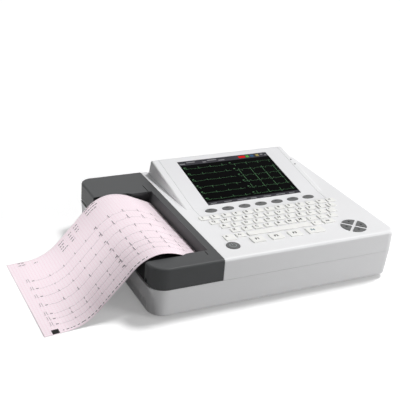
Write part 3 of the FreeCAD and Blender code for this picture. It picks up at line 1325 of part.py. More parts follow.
def path(start, heading, moves):
    """A smooth path across Y and its end: moves are (length, 0) straight or (radius, degrees of turn)."""
    edges = []
    for size, turn in moves:
        ahead = Vector(math.cos(heading), 0, math.sin(heading))
        if not turn:
            end = start + ahead * size
            edges.append(Part.LineSegment(start, end).toShape())
        else:
            side = math.copysign(1, turn)
            centre = start + Vector(-ahead.z, 0, ahead.x) * (size * side)
            sweep = math.radians(turn)
            spots = []
            for angle in (sweep / 2, sweep):
                arm = start - centre
                spots.append(centre + Vector(arm.x * math.cos(angle) - arm.z * math.sin(angle), 0,
                                             arm.x * math.sin(angle) + arm.z * math.cos(angle)))
            edges.append(Part.Arc(start, spots[0], spots[1]).toShape())
            end = spots[1]
            heading += sweep
        start = end
    return edges, start


def strip(start, heading, moves):
    """The profile of a thin sheet along a path, its print face on the right of its way, and its end."""
    thickness = value("paper_thickness")
    lower, lower_end = path(start, heading, moves)
    offset = Vector(math.sin(heading), 0, -math.cos(heading)) * thickness
    outer_moves = [(size + math.copysign(thickness, turn) if turn else size, turn) for size,
                   turn in moves]
    upper, upper_end = path(start + offset, heading, outer_moves)
    ends = [Part.LineSegment(start, start + offset).toShape(),
            Part.LineSegment(lower_end, upper_end).toShape()]
    return Part.Face(Part.Wire(Part.__sortEdges__(lower + upper + ends))), lower_end


def chart_paper():
    """The strip from the roll round the platen, out of the slot, over the deck and down to the surface."""
    side = value(PAPER_FRONT)
    platen = Vector(value(PLATEN_X), side, value(PLATEN_Z))
    roll = Vector(value(ROLL_X), side, value("roll_height"))
    platen_wrap = value("platen_radius + paper_clear")
    roll_wrap = value("roll_radius + paper_clear")
    reach = platen - roll
    rise = math.atan2(reach.z, reach.x) + math.asin((roll_wrap - platen_wrap) / reach.Length)
    below = Vector(math.sin(rise), 0, -math.cos(rise))
    start = roll + below * roll_wrap
    web = (platen + below * platen_wrap - start).Length
    exit_slope = value("exit_slope")
    slope = math.radians(exit_slope)
    leave = platen.x + platen_wrap * math.sin(slope)
    back_radius = value("hump_back_radius")
    run = (leave - value("hump_x") - back_radius * math.sin(slope)) / math.cos(slope)
    fed, crest = strip(start, rise, [
        (web, 0),
        (platen_wrap, 180 - exit_slope - math.degrees(rise)),
        (run, 0),
        (back_radius, exit_slope),
    ])
    fall_slope = value("fall_slope")
    fall = math.radians(fall_slope)
    front_radius = value("hump_front_radius")
    foot_radius = value("foot_curve")
    curves = front_radius + foot_radius
    slide = (crest.z - value("paper_floor") - curves * (1 - math.cos(fall))) / math.sin(fall)
    span = crest.x - value("paper_end")
    skew = math.atan2(value("paper_skew"), span)
    flat = span / math.cos(skew) - curves * math.sin(fall) - slide * math.cos(fall)
    hung, toe = strip(crest, math.pi, [
        (front_radius, fall_slope),
        (slide, 0),
        (foot_radius, -fall_slope),
        (flat, 0),
    ])
    hung.rotate(crest, Vector(0, 0, 1), math.degrees(skew))
    across = Vector(0, value("paper_width"), 0)
    thing = doc.addObject("Part::Feature", "paper_strip")
    thing.Shape = fed.extrude(across).fuse(hung.extrude(across)).removeSplitter()
    thing.Placement = Placement()
    return thing


node("chart_paper", chart_paper())

doc.recompute()
for thing in doc.Objects:
    if "Invalid" in thing.State or "Error" in thing.State:
        raise RuntimeError(f"{thing.Label} does not build")
for thing in nodes:
    if thing.Shape.isNull() or not thing.Shape.isValid():
        raise RuntimeError(f"{thing.Label} is not a valid shape")
os.makedirs("parts", exist_ok=True)
for thing in nodes:
    thing.Shape.exportStep(f"parts/{thing.Label}.step")
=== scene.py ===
import math
import random

import bmesh
import bpy
from mathutils import Matrix, Vector


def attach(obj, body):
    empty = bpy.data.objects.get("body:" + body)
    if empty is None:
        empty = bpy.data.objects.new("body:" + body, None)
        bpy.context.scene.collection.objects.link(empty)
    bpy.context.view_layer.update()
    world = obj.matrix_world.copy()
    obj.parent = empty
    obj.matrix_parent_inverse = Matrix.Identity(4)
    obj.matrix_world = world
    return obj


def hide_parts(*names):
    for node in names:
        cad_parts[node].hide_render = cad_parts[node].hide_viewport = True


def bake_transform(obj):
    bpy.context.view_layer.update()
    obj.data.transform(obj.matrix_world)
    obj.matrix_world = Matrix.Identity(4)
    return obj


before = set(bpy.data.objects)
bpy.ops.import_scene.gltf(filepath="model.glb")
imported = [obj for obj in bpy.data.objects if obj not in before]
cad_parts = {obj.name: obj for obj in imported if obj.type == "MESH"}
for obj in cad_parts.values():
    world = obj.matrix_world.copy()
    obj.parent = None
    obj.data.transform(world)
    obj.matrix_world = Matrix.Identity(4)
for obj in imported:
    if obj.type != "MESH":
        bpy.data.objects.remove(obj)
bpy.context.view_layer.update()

# Case: a white tray and a white upper half with the display hood, injection moulded in ABS with a
# fine satin grain. The battery's door and the plate round the side sockets are of the same plastic.


class Wire:
    """One output of a shader node, which adds, subtracts, multiplies and divides as numbers do."""

    def __init__(self, socket):
        self.socket = socket

    def make(self, kind, settings, inputs, output=0):
        """Any node of the same tree: its settings first, then its sockets' values or wires."""
        tree = self.socket.id_data
        node = tree.nodes.new(kind)
        for name, setting in settings.items():
            setattr(node, name, setting)
        for name, amount in inputs.items():
            if isinstance(amount, Wire):
                tree.links.new(amount.socket, node.inputs[name])
            else:
                node.inputs[name].default_value = amount
        return Wire(node.outputs[output])

    def math(self, operation, *others):
        return self.make("ShaderNodeMath", {"operation": operation}, dict(enumerate((self, *others))))

    def mix(self, low, high):
        """From one colour to another as this wire goes from 0 to 1."""
        return self.make("ShaderNodeMix", {"data_type": "RGBA"}, {0: self, 6: low, 7: high}, 2)

    def part(self, axis):
        return self.make("ShaderNodeSeparateXYZ", {}, {"Vector": self}, axis)

    def stretched(self, scale):
        return self.make("ShaderNodeMapping", {}, {"Vector": self, "Scale": scale})

    def noise(self, scale, detail=2.0):
        return self.make("ShaderNodeTexNoise", {}, {"Vector": self, "Scale": scale, "Detail": detail})

    def bump(self, distance, strength):
        heights = {"Height": self, "Distance": distance, "Strength": strength}
        return self.make("ShaderNodeBump", {}, heights)

    def __add__(self, other):
        return self.math("ADD", other)

    __radd__ = __add__

    def __sub__(self, other):
        return self.math("SUBTRACT", other)

    def __rsub__(self, other):
        return self.make("ShaderNodeMath", {"operation": "SUBTRACT"}, {0: other, 1: self})

    def __mul__(self, other):
        return self.math("MULTIPLY", other)

    __rmul__ = __mul__

    def __truediv__(self, other):
        return self.math("DIVIDE", other)

    def __rtruediv__(self, other):
        return self.make("ShaderNodeMath", {"operation": "DIVIDE"}, {0: other, 1: self})


def surface(name, coordinates="Object"):
    """A new material with its principled shader and a wire of its own coordinates."""
    paint = bpy.data.materials.new(name)
    paint.use_nodes = True
    tree = paint.node_tree
    place = tree.nodes.new("ShaderNodeTexCoord")
    return paint, tree.nodes["Principled BSDF"], Wire(place.outputs[coordinates])


def feed(shader, **wires):
    """Link wires to the shader's sockets, whose names are written with underscores."""
    for name, wire in wires.items():
        wire.socket.id_data.links.new(wire.socket, shader.inputs[name.replace("_", " ")])


def dress(paint, *names):
    """Give CAD nodes a material."""
    for name in names:
        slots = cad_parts[name].data.materials
        slots.clear()
        slots.append(paint)


SATIN_SHEEN = 0.22


def moulded(name, light, dark, rough, grain, depth):
    """Moulded plastic: a faint cloudiness in its colour, and the fine grain of a spark-eroded tool."""
    paint, shader, place = surface(name)
    shader.inputs["Specular IOR Level"].default_value = SATIN_SHEEN
    cloud = place.noise(14.0, 4.0)
    speck = place.noise(grain, 3.0)
    feed(shader,
         Base_Color=(cloud * 0.7 + speck * 0.3).mix(dark, light),
         Roughness=speck * 0.16 + cloud * 0.06 + (rough - 0.11),
         Normal=speck.bump(depth, 0.5))
    return paint


case_white = moulded("case_white", (0.87, 0.87, 0.88, 1), (0.82, 0.82, 0.83, 1), 0.38, 2600.0, 0.00003)
dress(case_white, "upper_case", "lower_case", "connector_plate", "battery_door")

# Feet and screws: four discs of black rubber stuck under the floor, and four steel screws driven up
# through the posts. The drive's shafts, springs and sheet metal are of the same bright steel.
rubber = moulded("rubber", (0.035, 0.035, 0.035, 1), (0.018, 0.018, 0.018, 1), 0.78, 900.0, 0.00008)
dress(rubber, "feet", "platen_rubber")


def metal(name, light, dark, rough):
    """Drawn or turned metal, with streaks along Y."""
    paint, shader, place = surface(name)
    streak = place.stretched((1.0, 0.05, 1.0)).noise(260.0, 4.0)
    shader.inputs["Metallic"].default_value = 1.0
    feed(shader,
         Base_Color=streak.mix(dark, light),
         Roughness=streak * 0.2 + (rough - 0.1),
         Normal=streak.bump(0.00002, 0.3))
    return paint


steel = metal("steel", (0.62, 0.62, 0.61, 1), (0.45, 0.45, 0.45, 1), 0.34)
dress(steel, "case_screws", "tear_bar", "platen_shaft", "hinge_pins", "head_springs", "printer_chassis",
      "drive_motor")

# Display: a thin white bezel let into the hood, a dark glass window in it and the panel behind.
# The window is coated against glare, and a few wiping marks vary what sheen is left.
COATED_SHEEN = 0.01
bezel_white = moulded("bezel", (0.85, 0.85, 0.865, 1), (0.81, 0.81, 0.825, 1), 0.32, 3400.0, 0.00002)
dress(bezel_white, "display_bezel")
window_dark, window_shader, window_place = surface("window")
wiping = window_place.stretched((3.0, 14.0, 14.0)).noise(9.0, 5.0)
feed(window_shader,
     Base_Color=wiping.mix((0.0006, 0.0007, 0.0008, 1), (0.0018, 0.0020, 0.0022, 1)),
     Roughness=wiping * 0.12 + 0.12)
window_shader.inputs["Specular IOR Level"].default_value = COATED_SHEEN
dress(window_dark, "screen_window")
panel_grey = moulded("panel", (0.16, 0.17, 0.18, 1), (0.10, 0.11, 0.12, 1), 0.5, 700.0, 0.00003)
dress(panel_grey, "lcd_panel")

# What the display shows: twelve green traces in two columns, a status bar with coloured marks above
# and a grey row of menu fields below, all as glowing marks on the window's face.
FOLD_Z = 0.086
HOOD_TILT = math.atan2(0.0268, 0.150)
WINDOW_FACE = -0.00035
BAR_SINK = 0.00002
SCREEN_LEFT = -0.036
SCREEN_RIGHT = 0.1405
SCREEN_LOW = 0.005
SCREEN_HIGH = 0.137
SCREEN_MIDDLE = 0.052
MENU_HEIGHT = 0.0085
MENU_START = 0.006
MENU_PITCH = 0.0248
MENU_WORD = 0.011
STATUS_HEIGHT = 0.0125
STATUS_LINES = (0.0095, 0.0062)
STATUS_WORD = 0.0028
TRACE_TOP = 0.1125
TRACE_SPACING = 0.0185
TRACE_HEIGHT = 0.0105
TRACE_WIDTH = 0.00036
TRACE_STEPS = 360
SCREEN_BEAT = 0.023


def on_screen(x, along, lift=0.0):
    """A point on the window's face: along X, and up the slope from its front fold."""
    depth = WINDOW_FACE + lift
    return Vector((x, along * math.cos(HOOD_TILT) - depth * math.sin(HOOD_TILT),
                   FOLD_Z + along * math.sin(HOOD_TILT) + depth * math.cos(HOOD_TILT)))


def heart_beat(phase):
    """Height of a heart beat's trace over one beat: its first wave, its spike and its last wave."""
    waves = ((0.13, 0.20, 0.035), (-0.10, 0.325, 0.012), (1.0, 0.36, 0.014), (-0.24, 0.395, 0.014),
             (0.22, 0.62, 0.06))
    return sum(height * math.exp(-((phase - middle) / width) ** 2) for height, middle, width in waves)


def draw_box(drawing, left, low, right, high):
    """A filled rectangle of a flat drawing."""
    middle = Matrix.Translation(((left + right) / 2, (low + high) / 2, 0.0))
    stretch = Matrix.Diagonal((right - left, high - low, 1.0, 1.0))
    bmesh.ops.create_grid(drawing, x_segments=1, y_segments=1, size=0.5, matrix=middle @ stretch)


def draw_line(drawing, points, width):
    """A thin line of a flat drawing: a strip of one square's width, led from point to point."""
    last = len(points) - 1
    for corner in bmesh.ops.create_grid(drawing, x_segments=last, y_segments=1, size=0.5)["verts"]:
        k = round((corner.co.x + 0.5) * last)
        way = (Vector(points[min(k + 1, last)]) - Vector(points[max(k - 1, 0)])).normalized()
        side = Vector((-way.y, way.x)) * corner.co.y * width
        corner.co = (Vector(points[k]) + side).to_3d()


def lay(name, drawing, place, paint):
    """One thin piece from a flat drawing, laid on the surface whose points a function gives."""
    for corner in drawing.verts:
        corner.co = place(corner.co.x, corner.co.y)
    mesh = bpy.data.meshes.new(name)
    drawing.to_mesh(mesh)
    drawing.free()
    mesh.materials.append(paint)
    thing = bpy.data.objects.new(name, mesh)
    bpy.context.scene.collection.objects.link(thing)
    return thing


def glowing(name, colour, dim):
    """A lit patch of the display, with the faint unevenness of its backlight."""
    paint, shader, place = surface(name)
    feed(shader, Emission_Color=place.noise(60.0).mix(dim, colour))
    shader.inputs["Base Color"].default_value = (0.0, 0.0, 0.0, 1)
    shader.inputs["Specular IOR Level"].default_value = 0.0
    shader.inputs["Emission Strength"].default_value = 1.0
    return paint


trace_lines = bmesh.new()
for left, right, gains in (
    (SCREEN_LEFT + 0.004, SCREEN_MIDDLE - 0.002, (0.5, 0.45, 0.3, -0.5, 0.35, 0.45)),
    (SCREEN_MIDDLE + 0.004, SCREEN_RIGHT - 0.003, (-0.6, -1.6, -1.2, 1.5, 1.2, 0.8)),
):
    for row, gain in enumerate(gains):
        base = TRACE_TOP - row * TRACE_SPACING
        points = []
        for k in range(TRACE_STEPS + 1):
            x = left + (right - left) * k / TRACE_STEPS
            wander = 0.0004 * math.sin(x * 170.0 + row)
            beat = heart_beat((x - SCREEN_LEFT) / SCREEN_BEAT % 1.0)
            points.append((x, base + wander + TRACE_HEIGHT * gain * beat))
        draw_line(trace_lines, points, TRACE_WIDTH)
        draw_box(trace_lines, left, base + 0.0035, left + 0.0032, base + 0.0055)
traces = lay("screen_traces", trace_lines, on_screen,
             glowing("trace_green", (0.12, 0.26, 0.13, 1), (0.07, 0.17, 0.08, 1)))
bar_fields = bmesh.new()
draw_box(bar_fields, SCREEN_LEFT, SCREEN_LOW, SCREEN_RIGHT, SCREEN_LOW + MENU_HEIGHT)
draw_box(bar_fields, SCREEN_LEFT, SCREEN_HIGH - STATUS_HEIGHT, SCREEN_RIGHT, SCREEN_HIGH)
bars = lay("screen_bars", bar_fields, lambda x, along: on_screen(x, along, -BAR_SINK),
           glowing("bar_grey", (0.070, 0.068, 0.078, 1), (0.042, 0.041, 0.048, 1)))
bar_words = bmesh.new()
for k in range(7):
    left = SCREEN_LEFT + MENU_START + k * MENU_PITCH
    right = left + MENU_WORD + 0.003 * (k % 3)
    draw_box(bar_words, left, SCREEN_LOW + 0.0030, right, SCREEN_LOW + 0.0050)
for k, (left, width) in enumerate((
    (0.002, 0.010), (0.016, 0.016), (0.046, 0.007), (0.056, 0.018), (0.077, 0.012), (0.163, 0.005),
    (0.170, 0.005),
)):
    low = SCREEN_HIGH - STATUS_LINES[k % 2]
    draw_box(bar_words, SCREEN_LEFT + left, low, SCREEN_LEFT + left + width, low + STATUS_WORD)
words = lay("screen_texts", bar_words, on_screen,
            glowing("text_grey", (0.30, 0.30, 0.31, 1), (0.20, 0.20, 0.21, 1)))
for mark in (traces, bars, words):
    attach(mark, "case")
for name, left, right, colour, dim in (
    ("red", 0.0822, 0.0952, (0.85, 0.015, 0.012, 1), (0.60, 0.010, 0.010, 1)),
    ("green", 0.0970, 0.1030, (0.12, 0.50, 0.08, 1), (0.08, 0.35, 0.05, 1)),
    ("blue", 0.1058, 0.1125, (0.06, 0.16, 0.30, 1), (0.04, 0.10, 0.20, 1)),
    ("amber", 0.1174, 0.1232, (0.45, 0.38, 0.14, 1), (0.30, 0.25, 0.09, 1)),
):
    lamp_mark = bmesh.new()
    draw_box(lamp_mark, left, SCREEN_HIGH - 0.0092, right, SCREEN_HIGH - 0.0030)
    lit = lay(f"screen_{name}_mark", lamp_mark, on_screen, glowing(f"mark_{name}", colour, dim))
    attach(lit, "case")

# Status lights: two smoky light guides in the hood's right border, unlit. Their plastic is slightly
# milky, so that a lamp behind them would light the whole face.
guide, guide_shader, guide_place = surface("light")
milk = guide_place.noise(900.0)
feed(guide_shader,
     Base_Color=milk.mix((0.22, 0.23, 0.23, 1), (0.34, 0.35, 0.35, 1)),
     Roughness=milk * 0.1 + 0.15)
dress(guide, "status_lights")

# White keys: caps of creamy plastic in five rows, a space bar and four function keys, each over its
# flange. Their legends are printed in dark grey, at the upper left of each cap.
key_white = moulded("key_white", (0.91, 0.908, 0.885, 1), (0.88, 0.876, 0.85, 1), 0.5, 3000.0, 0.00002)
dress(key_white, "letter_row_1", "letter_row_2", "letter_row_3", "letter_row_4", "letter_row_5",
      "space_bar", "function_keys")
CAP_TOP = 0.08782
KEY_PITCH = 0.0198
ROW_PITCH = 0.0169
ROW_STAGGER = 0.0099
FIRST_KEY_X = -0.072
FIRST_ROW_Y = -0.0362
LAST_ROW_Y = FIRST_ROW_Y - 4 * ROW_PITCH
LEGEND_SIZE = 0.0074
LEGEND_RIGHT = 0.0036
LEGEND_DOWN = 0.0012
STROKE_SWELL = 0.04
FUNCTION_MARK_X = -0.020
FUNCTION_MARK_Y = -0.1262
FUNCTION_PITCH = 0.033
FUNCTION_SIZE = 0.0075
MATT_SHEEN = 0.1


def printed(name, light, dark):
    """Ink on a hard surface, a little worn where fingers land."""
    paint, shader, place = surface(name)
    shader.inputs["Specular IOR Level"].default_value = MATT_SHEEN
    wear = place.noise(700.0, 4.0)
    feed(shader, Base_Color=wear.mix(dark, light), Roughness=wear * 0.2 + 0.45)
    return paint


def draw_text(drawing, text, x, y, size):
    """A short text of a flat drawing, with its lower left corner at a point."""
    curve = bpy.data.curves.new("legend", "FONT")
    curve.body = text
    curve.size = size
    curve.offset = size * STROKE_SWELL
    curve.resolution_u = 2
    letter = bpy.data.objects.new("legend", curve)
    bpy.context.scene.collection.objects.link(letter)
    bpy.context.view_layer.update()
    mesh = bpy.data.meshes.new_from_object(letter.evaluated_get(bpy.context.evaluated_depsgraph_get()))
    mesh.transform(Matrix.Translation((x, y, 0.0)))
    mesh.materials.clear()
    drawing.from_mesh(mesh)
    bpy.data.objects.remove(letter)
    bpy.data.curves.remove(curve)
    bpy.data.meshes.remove(mesh)


def on_caps(x, y):
    return Vector((x, y, CAP_TOP))


ink_dark = printed("key_ink", (0.05, 0.05, 0.05, 1), (0.02, 0.02, 0.02, 1))
for row, letters in enumerate(("1234567890-=<", "QWERTYUIOP[]", "ASDFGHJKL;'", "ZXCVBNM,./")):
    legends = bmesh.new()
    for k, letter in enumerate(letters):
        left = FIRST_KEY_X + row * ROW_STAGGER + k * KEY_PITCH + LEGEND_RIGHT
        draw_text(legends, letter, left, FIRST_ROW_Y - row * ROW_PITCH - LEGEND_DOWN, LEGEND_SIZE)
    row_legends = lay(f"letter_legends_{row + 1}", legends, on_caps, ink_dark)
    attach(row_legends, f"letter_row_{row + 1}")
legends = bmesh.new()
for text, x, size in (("A", -0.0605, 0.0062), ("Fn", -0.0388, 0.0056), ("+", 0.0980, 0.0058),
                      ("Alt", 0.1200, 0.0056)):
    draw_text(legends, text, x, LAST_ROW_Y - 0.001, size)
last_legends = lay("letter_legends_5", legends, on_caps, ink_dark)
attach(last_legends, "letter_row_5")
ink_teal = printed("key_ink_teal", (0.10, 0.22, 0.26, 1), (0.06, 0.15, 0.18, 1))
for k, ink in enumerate((ink_dark, ink_dark, ink_dark, ink_teal)):
    legends = bmesh.new()
    left = FUNCTION_MARK_X + k * FUNCTION_PITCH
    draw_text(legends, f"F{k + 1}", left, FUNCTION_MARK_Y, FUNCTION_SIZE)
    function_legend = lay(f"function_legend_{k + 1}", legends, on_caps, ink)
    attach(function_legend, "function_keys")

# Grey keys: seven oval soft keys under the screen, the round power key and the pad's four sectors,
# low domes of grey plastic with a satin finish and small printed marks.
key_grey = moulded("key_grey", (0.132, 0.135, 0.135, 1), (0.100, 0.103, 0.103, 1), 0.4, 2400.0, 0.00003)
dress(key_grey, "power_key", "pad_up_key", "pad_down_key", "pad_left_key", "pad_right_key",
      *(f"soft_key_{k}" for k in range(1, 8)))
DOME_TOP = 0.08692
PAD_X = 0.156
POWER_X = -0.061
PAD_Y = -0.130
SOFT_MARK_X = -0.0430
SOFT_MARK_Y = -0.0126
SOFT_PITCH = 0.0306
SOFT_SIZE = 0.0048
ARROW_SIZE = 0.0032
ARROW_REACH = 0.0136
RING_RADIUS = 0.0052
RING_START = 120
RING_SWEEP = 300
RING_STEPS = 22
MARK_WIDTH = 0.0010


def on_domes(x, y):
    return Vector((x, y, DOME_TOP))


ink_black = printed("mark_ink", (0.035, 0.035, 0.035, 1), (0.015, 0.015, 0.015, 1))
for k in range(1, 8):
    legends = bmesh.new()
    draw_text(legends, f"F{k + 4}", SOFT_MARK_X + (k - 1) * SOFT_PITCH, SOFT_MARK_Y, SOFT_SIZE)
    soft_mark = lay(f"soft_mark_{k}", legends, on_domes, ink_black)
    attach(soft_mark, f"soft_key_{k}")
for name, turn in (("right", 0), ("up", 90), ("left", 180), ("down", 270)):
    arrow = bmesh.new()
    spin = Matrix.Translation((PAD_X, PAD_Y, 0.0)) @ Matrix.Rotation(math.radians(turn), 4, "Z")
    point = spin @ Matrix.Translation((ARROW_REACH, 0.0, 0.0)) @ Matrix.Rotation(-math.pi / 2, 4, "Z")
    bmesh.ops.create_circle(arrow, cap_ends=True, segments=3, radius=ARROW_SIZE, matrix=point)
    pad_mark = lay(f"pad_mark_{name}", arrow, on_domes, ink_black)
    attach(pad_mark, f"pad_{name}_key")
ink_pale = printed("power_ink", (0.34, 0.37, 0.37, 1), (0.27, 0.30, 0.30, 1))
power_lines = bmesh.new()
ring = []
for k in range(RING_STEPS + 1):
    angle = math.radians(RING_START + k * RING_SWEEP / RING_STEPS)
    ring.append((POWER_X + RING_RADIUS * math.cos(angle), PAD_Y + RING_RADIUS * math.sin(angle)))
draw_line(power_lines, ring, MARK_WIDTH)
draw_line(power_lines, [(POWER_X, PAD_Y + 0.0005), (POWER_X, PAD_Y + 0.0065)], MARK_WIDTH)
power_mark = lay("power_mark", power_lines, on_domes, ink_pale)
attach(power_mark, "power_key")

# Keypad mat and boards: a translucent silicone sheet over green glass-fibre boards, whose copper
# tracks show as a finer pattern under the lacquer.
silicone = moulded("silicone", (0.42, 0.43, 0.42, 1), (0.34, 0.35, 0.34, 1), 0.6, 500.0, 0.00005)
dress(silicone, "keypad_mat")
board, board_shader, board_place = surface("board")
cells = board_place.make("ShaderNodeTexVoronoi", {"distance": "MANHATTAN", "feature": "F1"},
                         {"Vector": board_place, "Scale": 150.0})
track_edge = cells.math("GREATER_THAN", 0.55)
weave = board_place.noise(1500.0)
feed(board_shader,
     Base_Color=(track_edge * 0.6 + weave * 0.4).mix((0.012, 0.085, 0.035, 1), (0.05, 0.20, 0.08, 1)),
     Roughness=weave * 0.2 + 0.25,
     Normal=track_edge.bump(0.00004, 0.4))
dress(board, "keypad_board", "main_board", "power_supply")

# Recorder cover: a dark grey frame round the paper's channel with a curved deck between its arms,
# moulded with a slightly coarser grain than the case.
cover_dark = moulded("cover_dark", (0.068, 0.070, 0.072, 1), (0.050, 0.052, 0.054, 1), 0.42, 2200.0,
                     0.00004)
dress(cover_dark, "recorder_cover", "cover_deck")

# Drive of the paper: white nylon gear, bearings and spindle, a brass pinion on the motor, an aluminium
# heat sink and the ceramic bar of the print head.
nylon = moulded("nylon", (0.78, 0.77, 0.71, 1), (0.70, 0.69, 0.63, 1), 0.45, 800.0, 0.00003)
dress(nylon, "platen_gear", "platen_bearings", "roll_spindle")
brass = metal("brass", (0.80, 0.58, 0.25, 1), (0.66, 0.46, 0.18, 1), 0.3)
dress(brass, "motor_pinion", "equipotential_pin")
aluminium = metal("aluminium", (0.80, 0.81, 0.82, 1), (0.66, 0.67, 0.68, 1), 0.36)
dress(aluminium, "head_heat_sink")
ceramic = moulded("ceramic", (0.82, 0.80, 0.74, 1), (0.74, 0.72, 0.66, 1), 0.28, 1200.0, 0.00001)
dress(ceramic, "print_head")

# Paper roll: the wound strip on a brown card core. Its ends show the edges of the turns, its outside
# the pale pink of the print side.
ROLL_X = -0.158
ROLL_Z = 0.037
ROLL_RINGS = 9000.0
roll_paper, roll_shader, roll_place = surface("paper_roll")
roll_x = roll_place.part("X") - ROLL_X
roll_z = roll_place.part("Z") - ROLL_Z
turns = ((roll_x * roll_x + roll_z * roll_z).math("SQRT") * ROLL_RINGS).math("SINE")
feed(roll_shader,
     Base_Color=(turns * 0.5 + 0.5).mix((0.78, 0.62, 0.68, 1), (0.90, 0.80, 0.84, 1)),
     Roughness=turns * 0.05 + 0.7,
     Normal=turns.bump(0.00003, 0.4))
dress(roll_paper, "paper_roll")
card = moulded("card", (0.36, 0.27, 0.17, 1), (0.26, 0.19, 0.11, 1), 0.8, 600.0, 0.00008)
dress(card, "roll_core")

# Chart paper: thermal paper 210 mm wide with a pink millimetre grid, drawn off the roll, round the
# platen, out of the slot over the deck and down to the table, where its end lies flat.
PAPER_FRONT = -0.130
PAPER_WIDTH = 0.210
PAPER_GAUGE = 0.00012
PAPER_CLEARANCE = 0.0001
PAPER_SKEW = math.radians(5.52)
CREST_X = -0.178
FREE_FROM = 0.130
FREE_EASE = 0.05
LANDED = 0.055
LANDING_EASE = 0.06
RIPPLE = 0.0006
ROLL_EXIT = (-0.1421, 0.0173, math.radians(38.8))
PAPER_MOVES = (
    (0.05305, 0.0), (0.0083, 116.2), (0.0460, 0.0), (0.080, 25.0), (0.060, 46.0), (0.0696, 0.0),
    (0.075, -46.0), (0.0314, 0.0),
)
PAPER_LENGTH = sum(size * abs(math.radians(turn)) if turn else size for size, turn in PAPER_MOVES)


def paper_line(along):
    """X, Z and heading of the strip at a length along it from the roll: straight runs and arcs."""
    x, z, heading = ROLL_EXIT
    for size, turn in PAPER_MOVES:
        sweep = math.radians(turn)
        run = size * abs(sweep) if turn else size
        part = min(along, run)
        swept = sweep * part / run
        chord = 2 * size * math.sin(abs(swept) / 2) if turn else part
        x += chord * math.cos(heading + swept / 2)
        z += chord * math.sin(heading + swept / 2)
        heading += swept
        along -= part
    return x, z, heading


def on_paper(back, across, lift=PAPER_GAUGE):
    """A point of the strip: back from its free end, across from its front edge, off its lower face."""
    along = PAPER_LENGTH - back
    x, z, heading = paper_line(along)
    off_deck = min(max((along - FREE_FROM) / FREE_EASE, 0.0), 1.0)
    off_table = min(max((back - LANDED) / LANDING_EASE, 0.0), 1.0)
    free = off_deck * off_table
    wave = RIPPLE * free * math.sin(across * 31.0 + along * 24.0 + 0.8) * math.sin(across * 13.0 + 1.1)
    rise = PAPER_CLEARANCE + lift + max(wave, -PAPER_CLEARANCE / 2)
    x += math.sin(heading) * rise
    z -= math.cos(heading) * rise
    shift = max(CREST_X - x, 0.0)
    y = PAPER_FRONT + across - shift * math.sin(PAPER_SKEW)
    return Vector((x + shift * (1 - math.cos(PAPER_SKEW)), y, z))


paper_print, print_shader, cut = surface("paper_print", "UV")
back_wire = cut.part("X")
across_wire = cut.part("Y")


def ruled(pitch, width):
    """1 on the lines of a square grid with a pitch and a line width."""
    along_lines = (back_wire / pitch).math("FRACT").math("LESS_THAN", width / pitch)
    across_lines = (across_wire / pitch).math("FRACT").math("LESS_THAN", width / pitch)
    return along_lines.math("MAXIMUM", across_lines)


print_shader.inputs["Specular IOR Level"].default_value = MATT_SHEEN
fibre = cut.noise(900.0, 3.0)
grid = ruled(0.001, 0.00018) * 0.32 + ruled(0.005, 0.00045) * 0.6 + fibre * 0.08
feed(print_shader,
     Base_Color=grid.mix((0.985, 0.895, 0.935, 1), (0.90, 0.63, 0.73, 1)),
     Roughness=fibre * 0.15 + 0.45,
     Normal=fibre.bump(0.00002, 0.3))
paper_back, back_shader, back_place = surface("paper_back", "UV")
back_shader.inputs["Specular IOR Level"].default_value = MATT_SHEEN
back_fibre = back_place.noise(700.0, 4.0)
feed(back_shader,
     Base_Color=back_fibre.mix((0.84, 0.80, 0.81, 1), (0.92, 0.89, 0.90, 1)),
     Roughness=back_fibre * 0.15 + 0.6,
     Normal=back_fibre.bump(0.00002, 0.3))
slab = bmesh.new()
middle = Matrix.Translation((PAPER_LENGTH / 2, PAPER_WIDTH / 2, 0.0))
flat = middle @ Matrix.Diagonal((PAPER_LENGTH, PAPER_WIDTH, 1, 1))
bmesh.ops.create_grid(slab, x_segments=226, y_segments=36, size=0.5, matrix=flat)
under = list(slab.faces)
raised = bmesh.ops.extrude_face_region(slab, geom=under, use_keep_orig=True)["geom"]
upper = [piece for piece in raised if isinstance(piece, bmesh.types.BMVert)]
bmesh.ops.translate(slab, vec=(0.0, 0.0, PAPER_GAUGE), verts=upper)
bmesh.ops.recalc_face_normals(slab, faces=slab.faces)
cut_map = slab.loops.layers.uv.new("Cut")
for face in slab.faces:
    face.smooth = abs(face.normal.z) > 0.5
    face.material_index = 1 if face.normal.z > 0.5 else 0
    for loop in face.loops:
        loop[cut_map].uv = loop.vert.co.xy
for corner in slab.verts:
    corner.co = on_paper(*corner.co)
mesh = bpy.data.meshes.new("chart_strip")
slab.to_mesh(mesh)
slab.free()
mesh.materials.append(paper_back)
mesh.materials.append(paper_print)
strip = bpy.data.objects.new("chart_strip", mesh)
bpy.context.scene.collection.objects.link(strip)

# Print on the chart: seven grey traces along the strip, with a calibration step and a lead mark at
# their start and a bolder stroke at each beat. Lines of text and the cue mark are burnt in darker.
INK_LIFT = PAPER_GAUGE + 0.00008
TRACE_START = 0.030
SECOND_LEADS = 0.152
SLOT_BACK = 0.2855
BEAT = 0.0256
FIRST_BEAT = 0.054
SPIKE_PHASE = 0.36
PRINT_STEPS = 700
WAVE_HEIGHT = 0.0085
WAVE_WIDTH = 0.00034
SPIKE_HEIGHT = 0.0095
SPIKE_WIDTH = 0.0007
STEP_HEIGHT = 0.009
STEP_WIDTH = 0.0006
TEXT_PITCH = 0.0070
TEXT_HEIGHT = 0.0014
WORD_GAP = 0.0014
FOOTER_START = 0.029
FOOTER_END = 0.19
FOOTER_LOW = 0.0050
FOOTER_HIGH = 0.0064


def on_print(back, across):
    return on_paper(back, across, INK_LIFT)


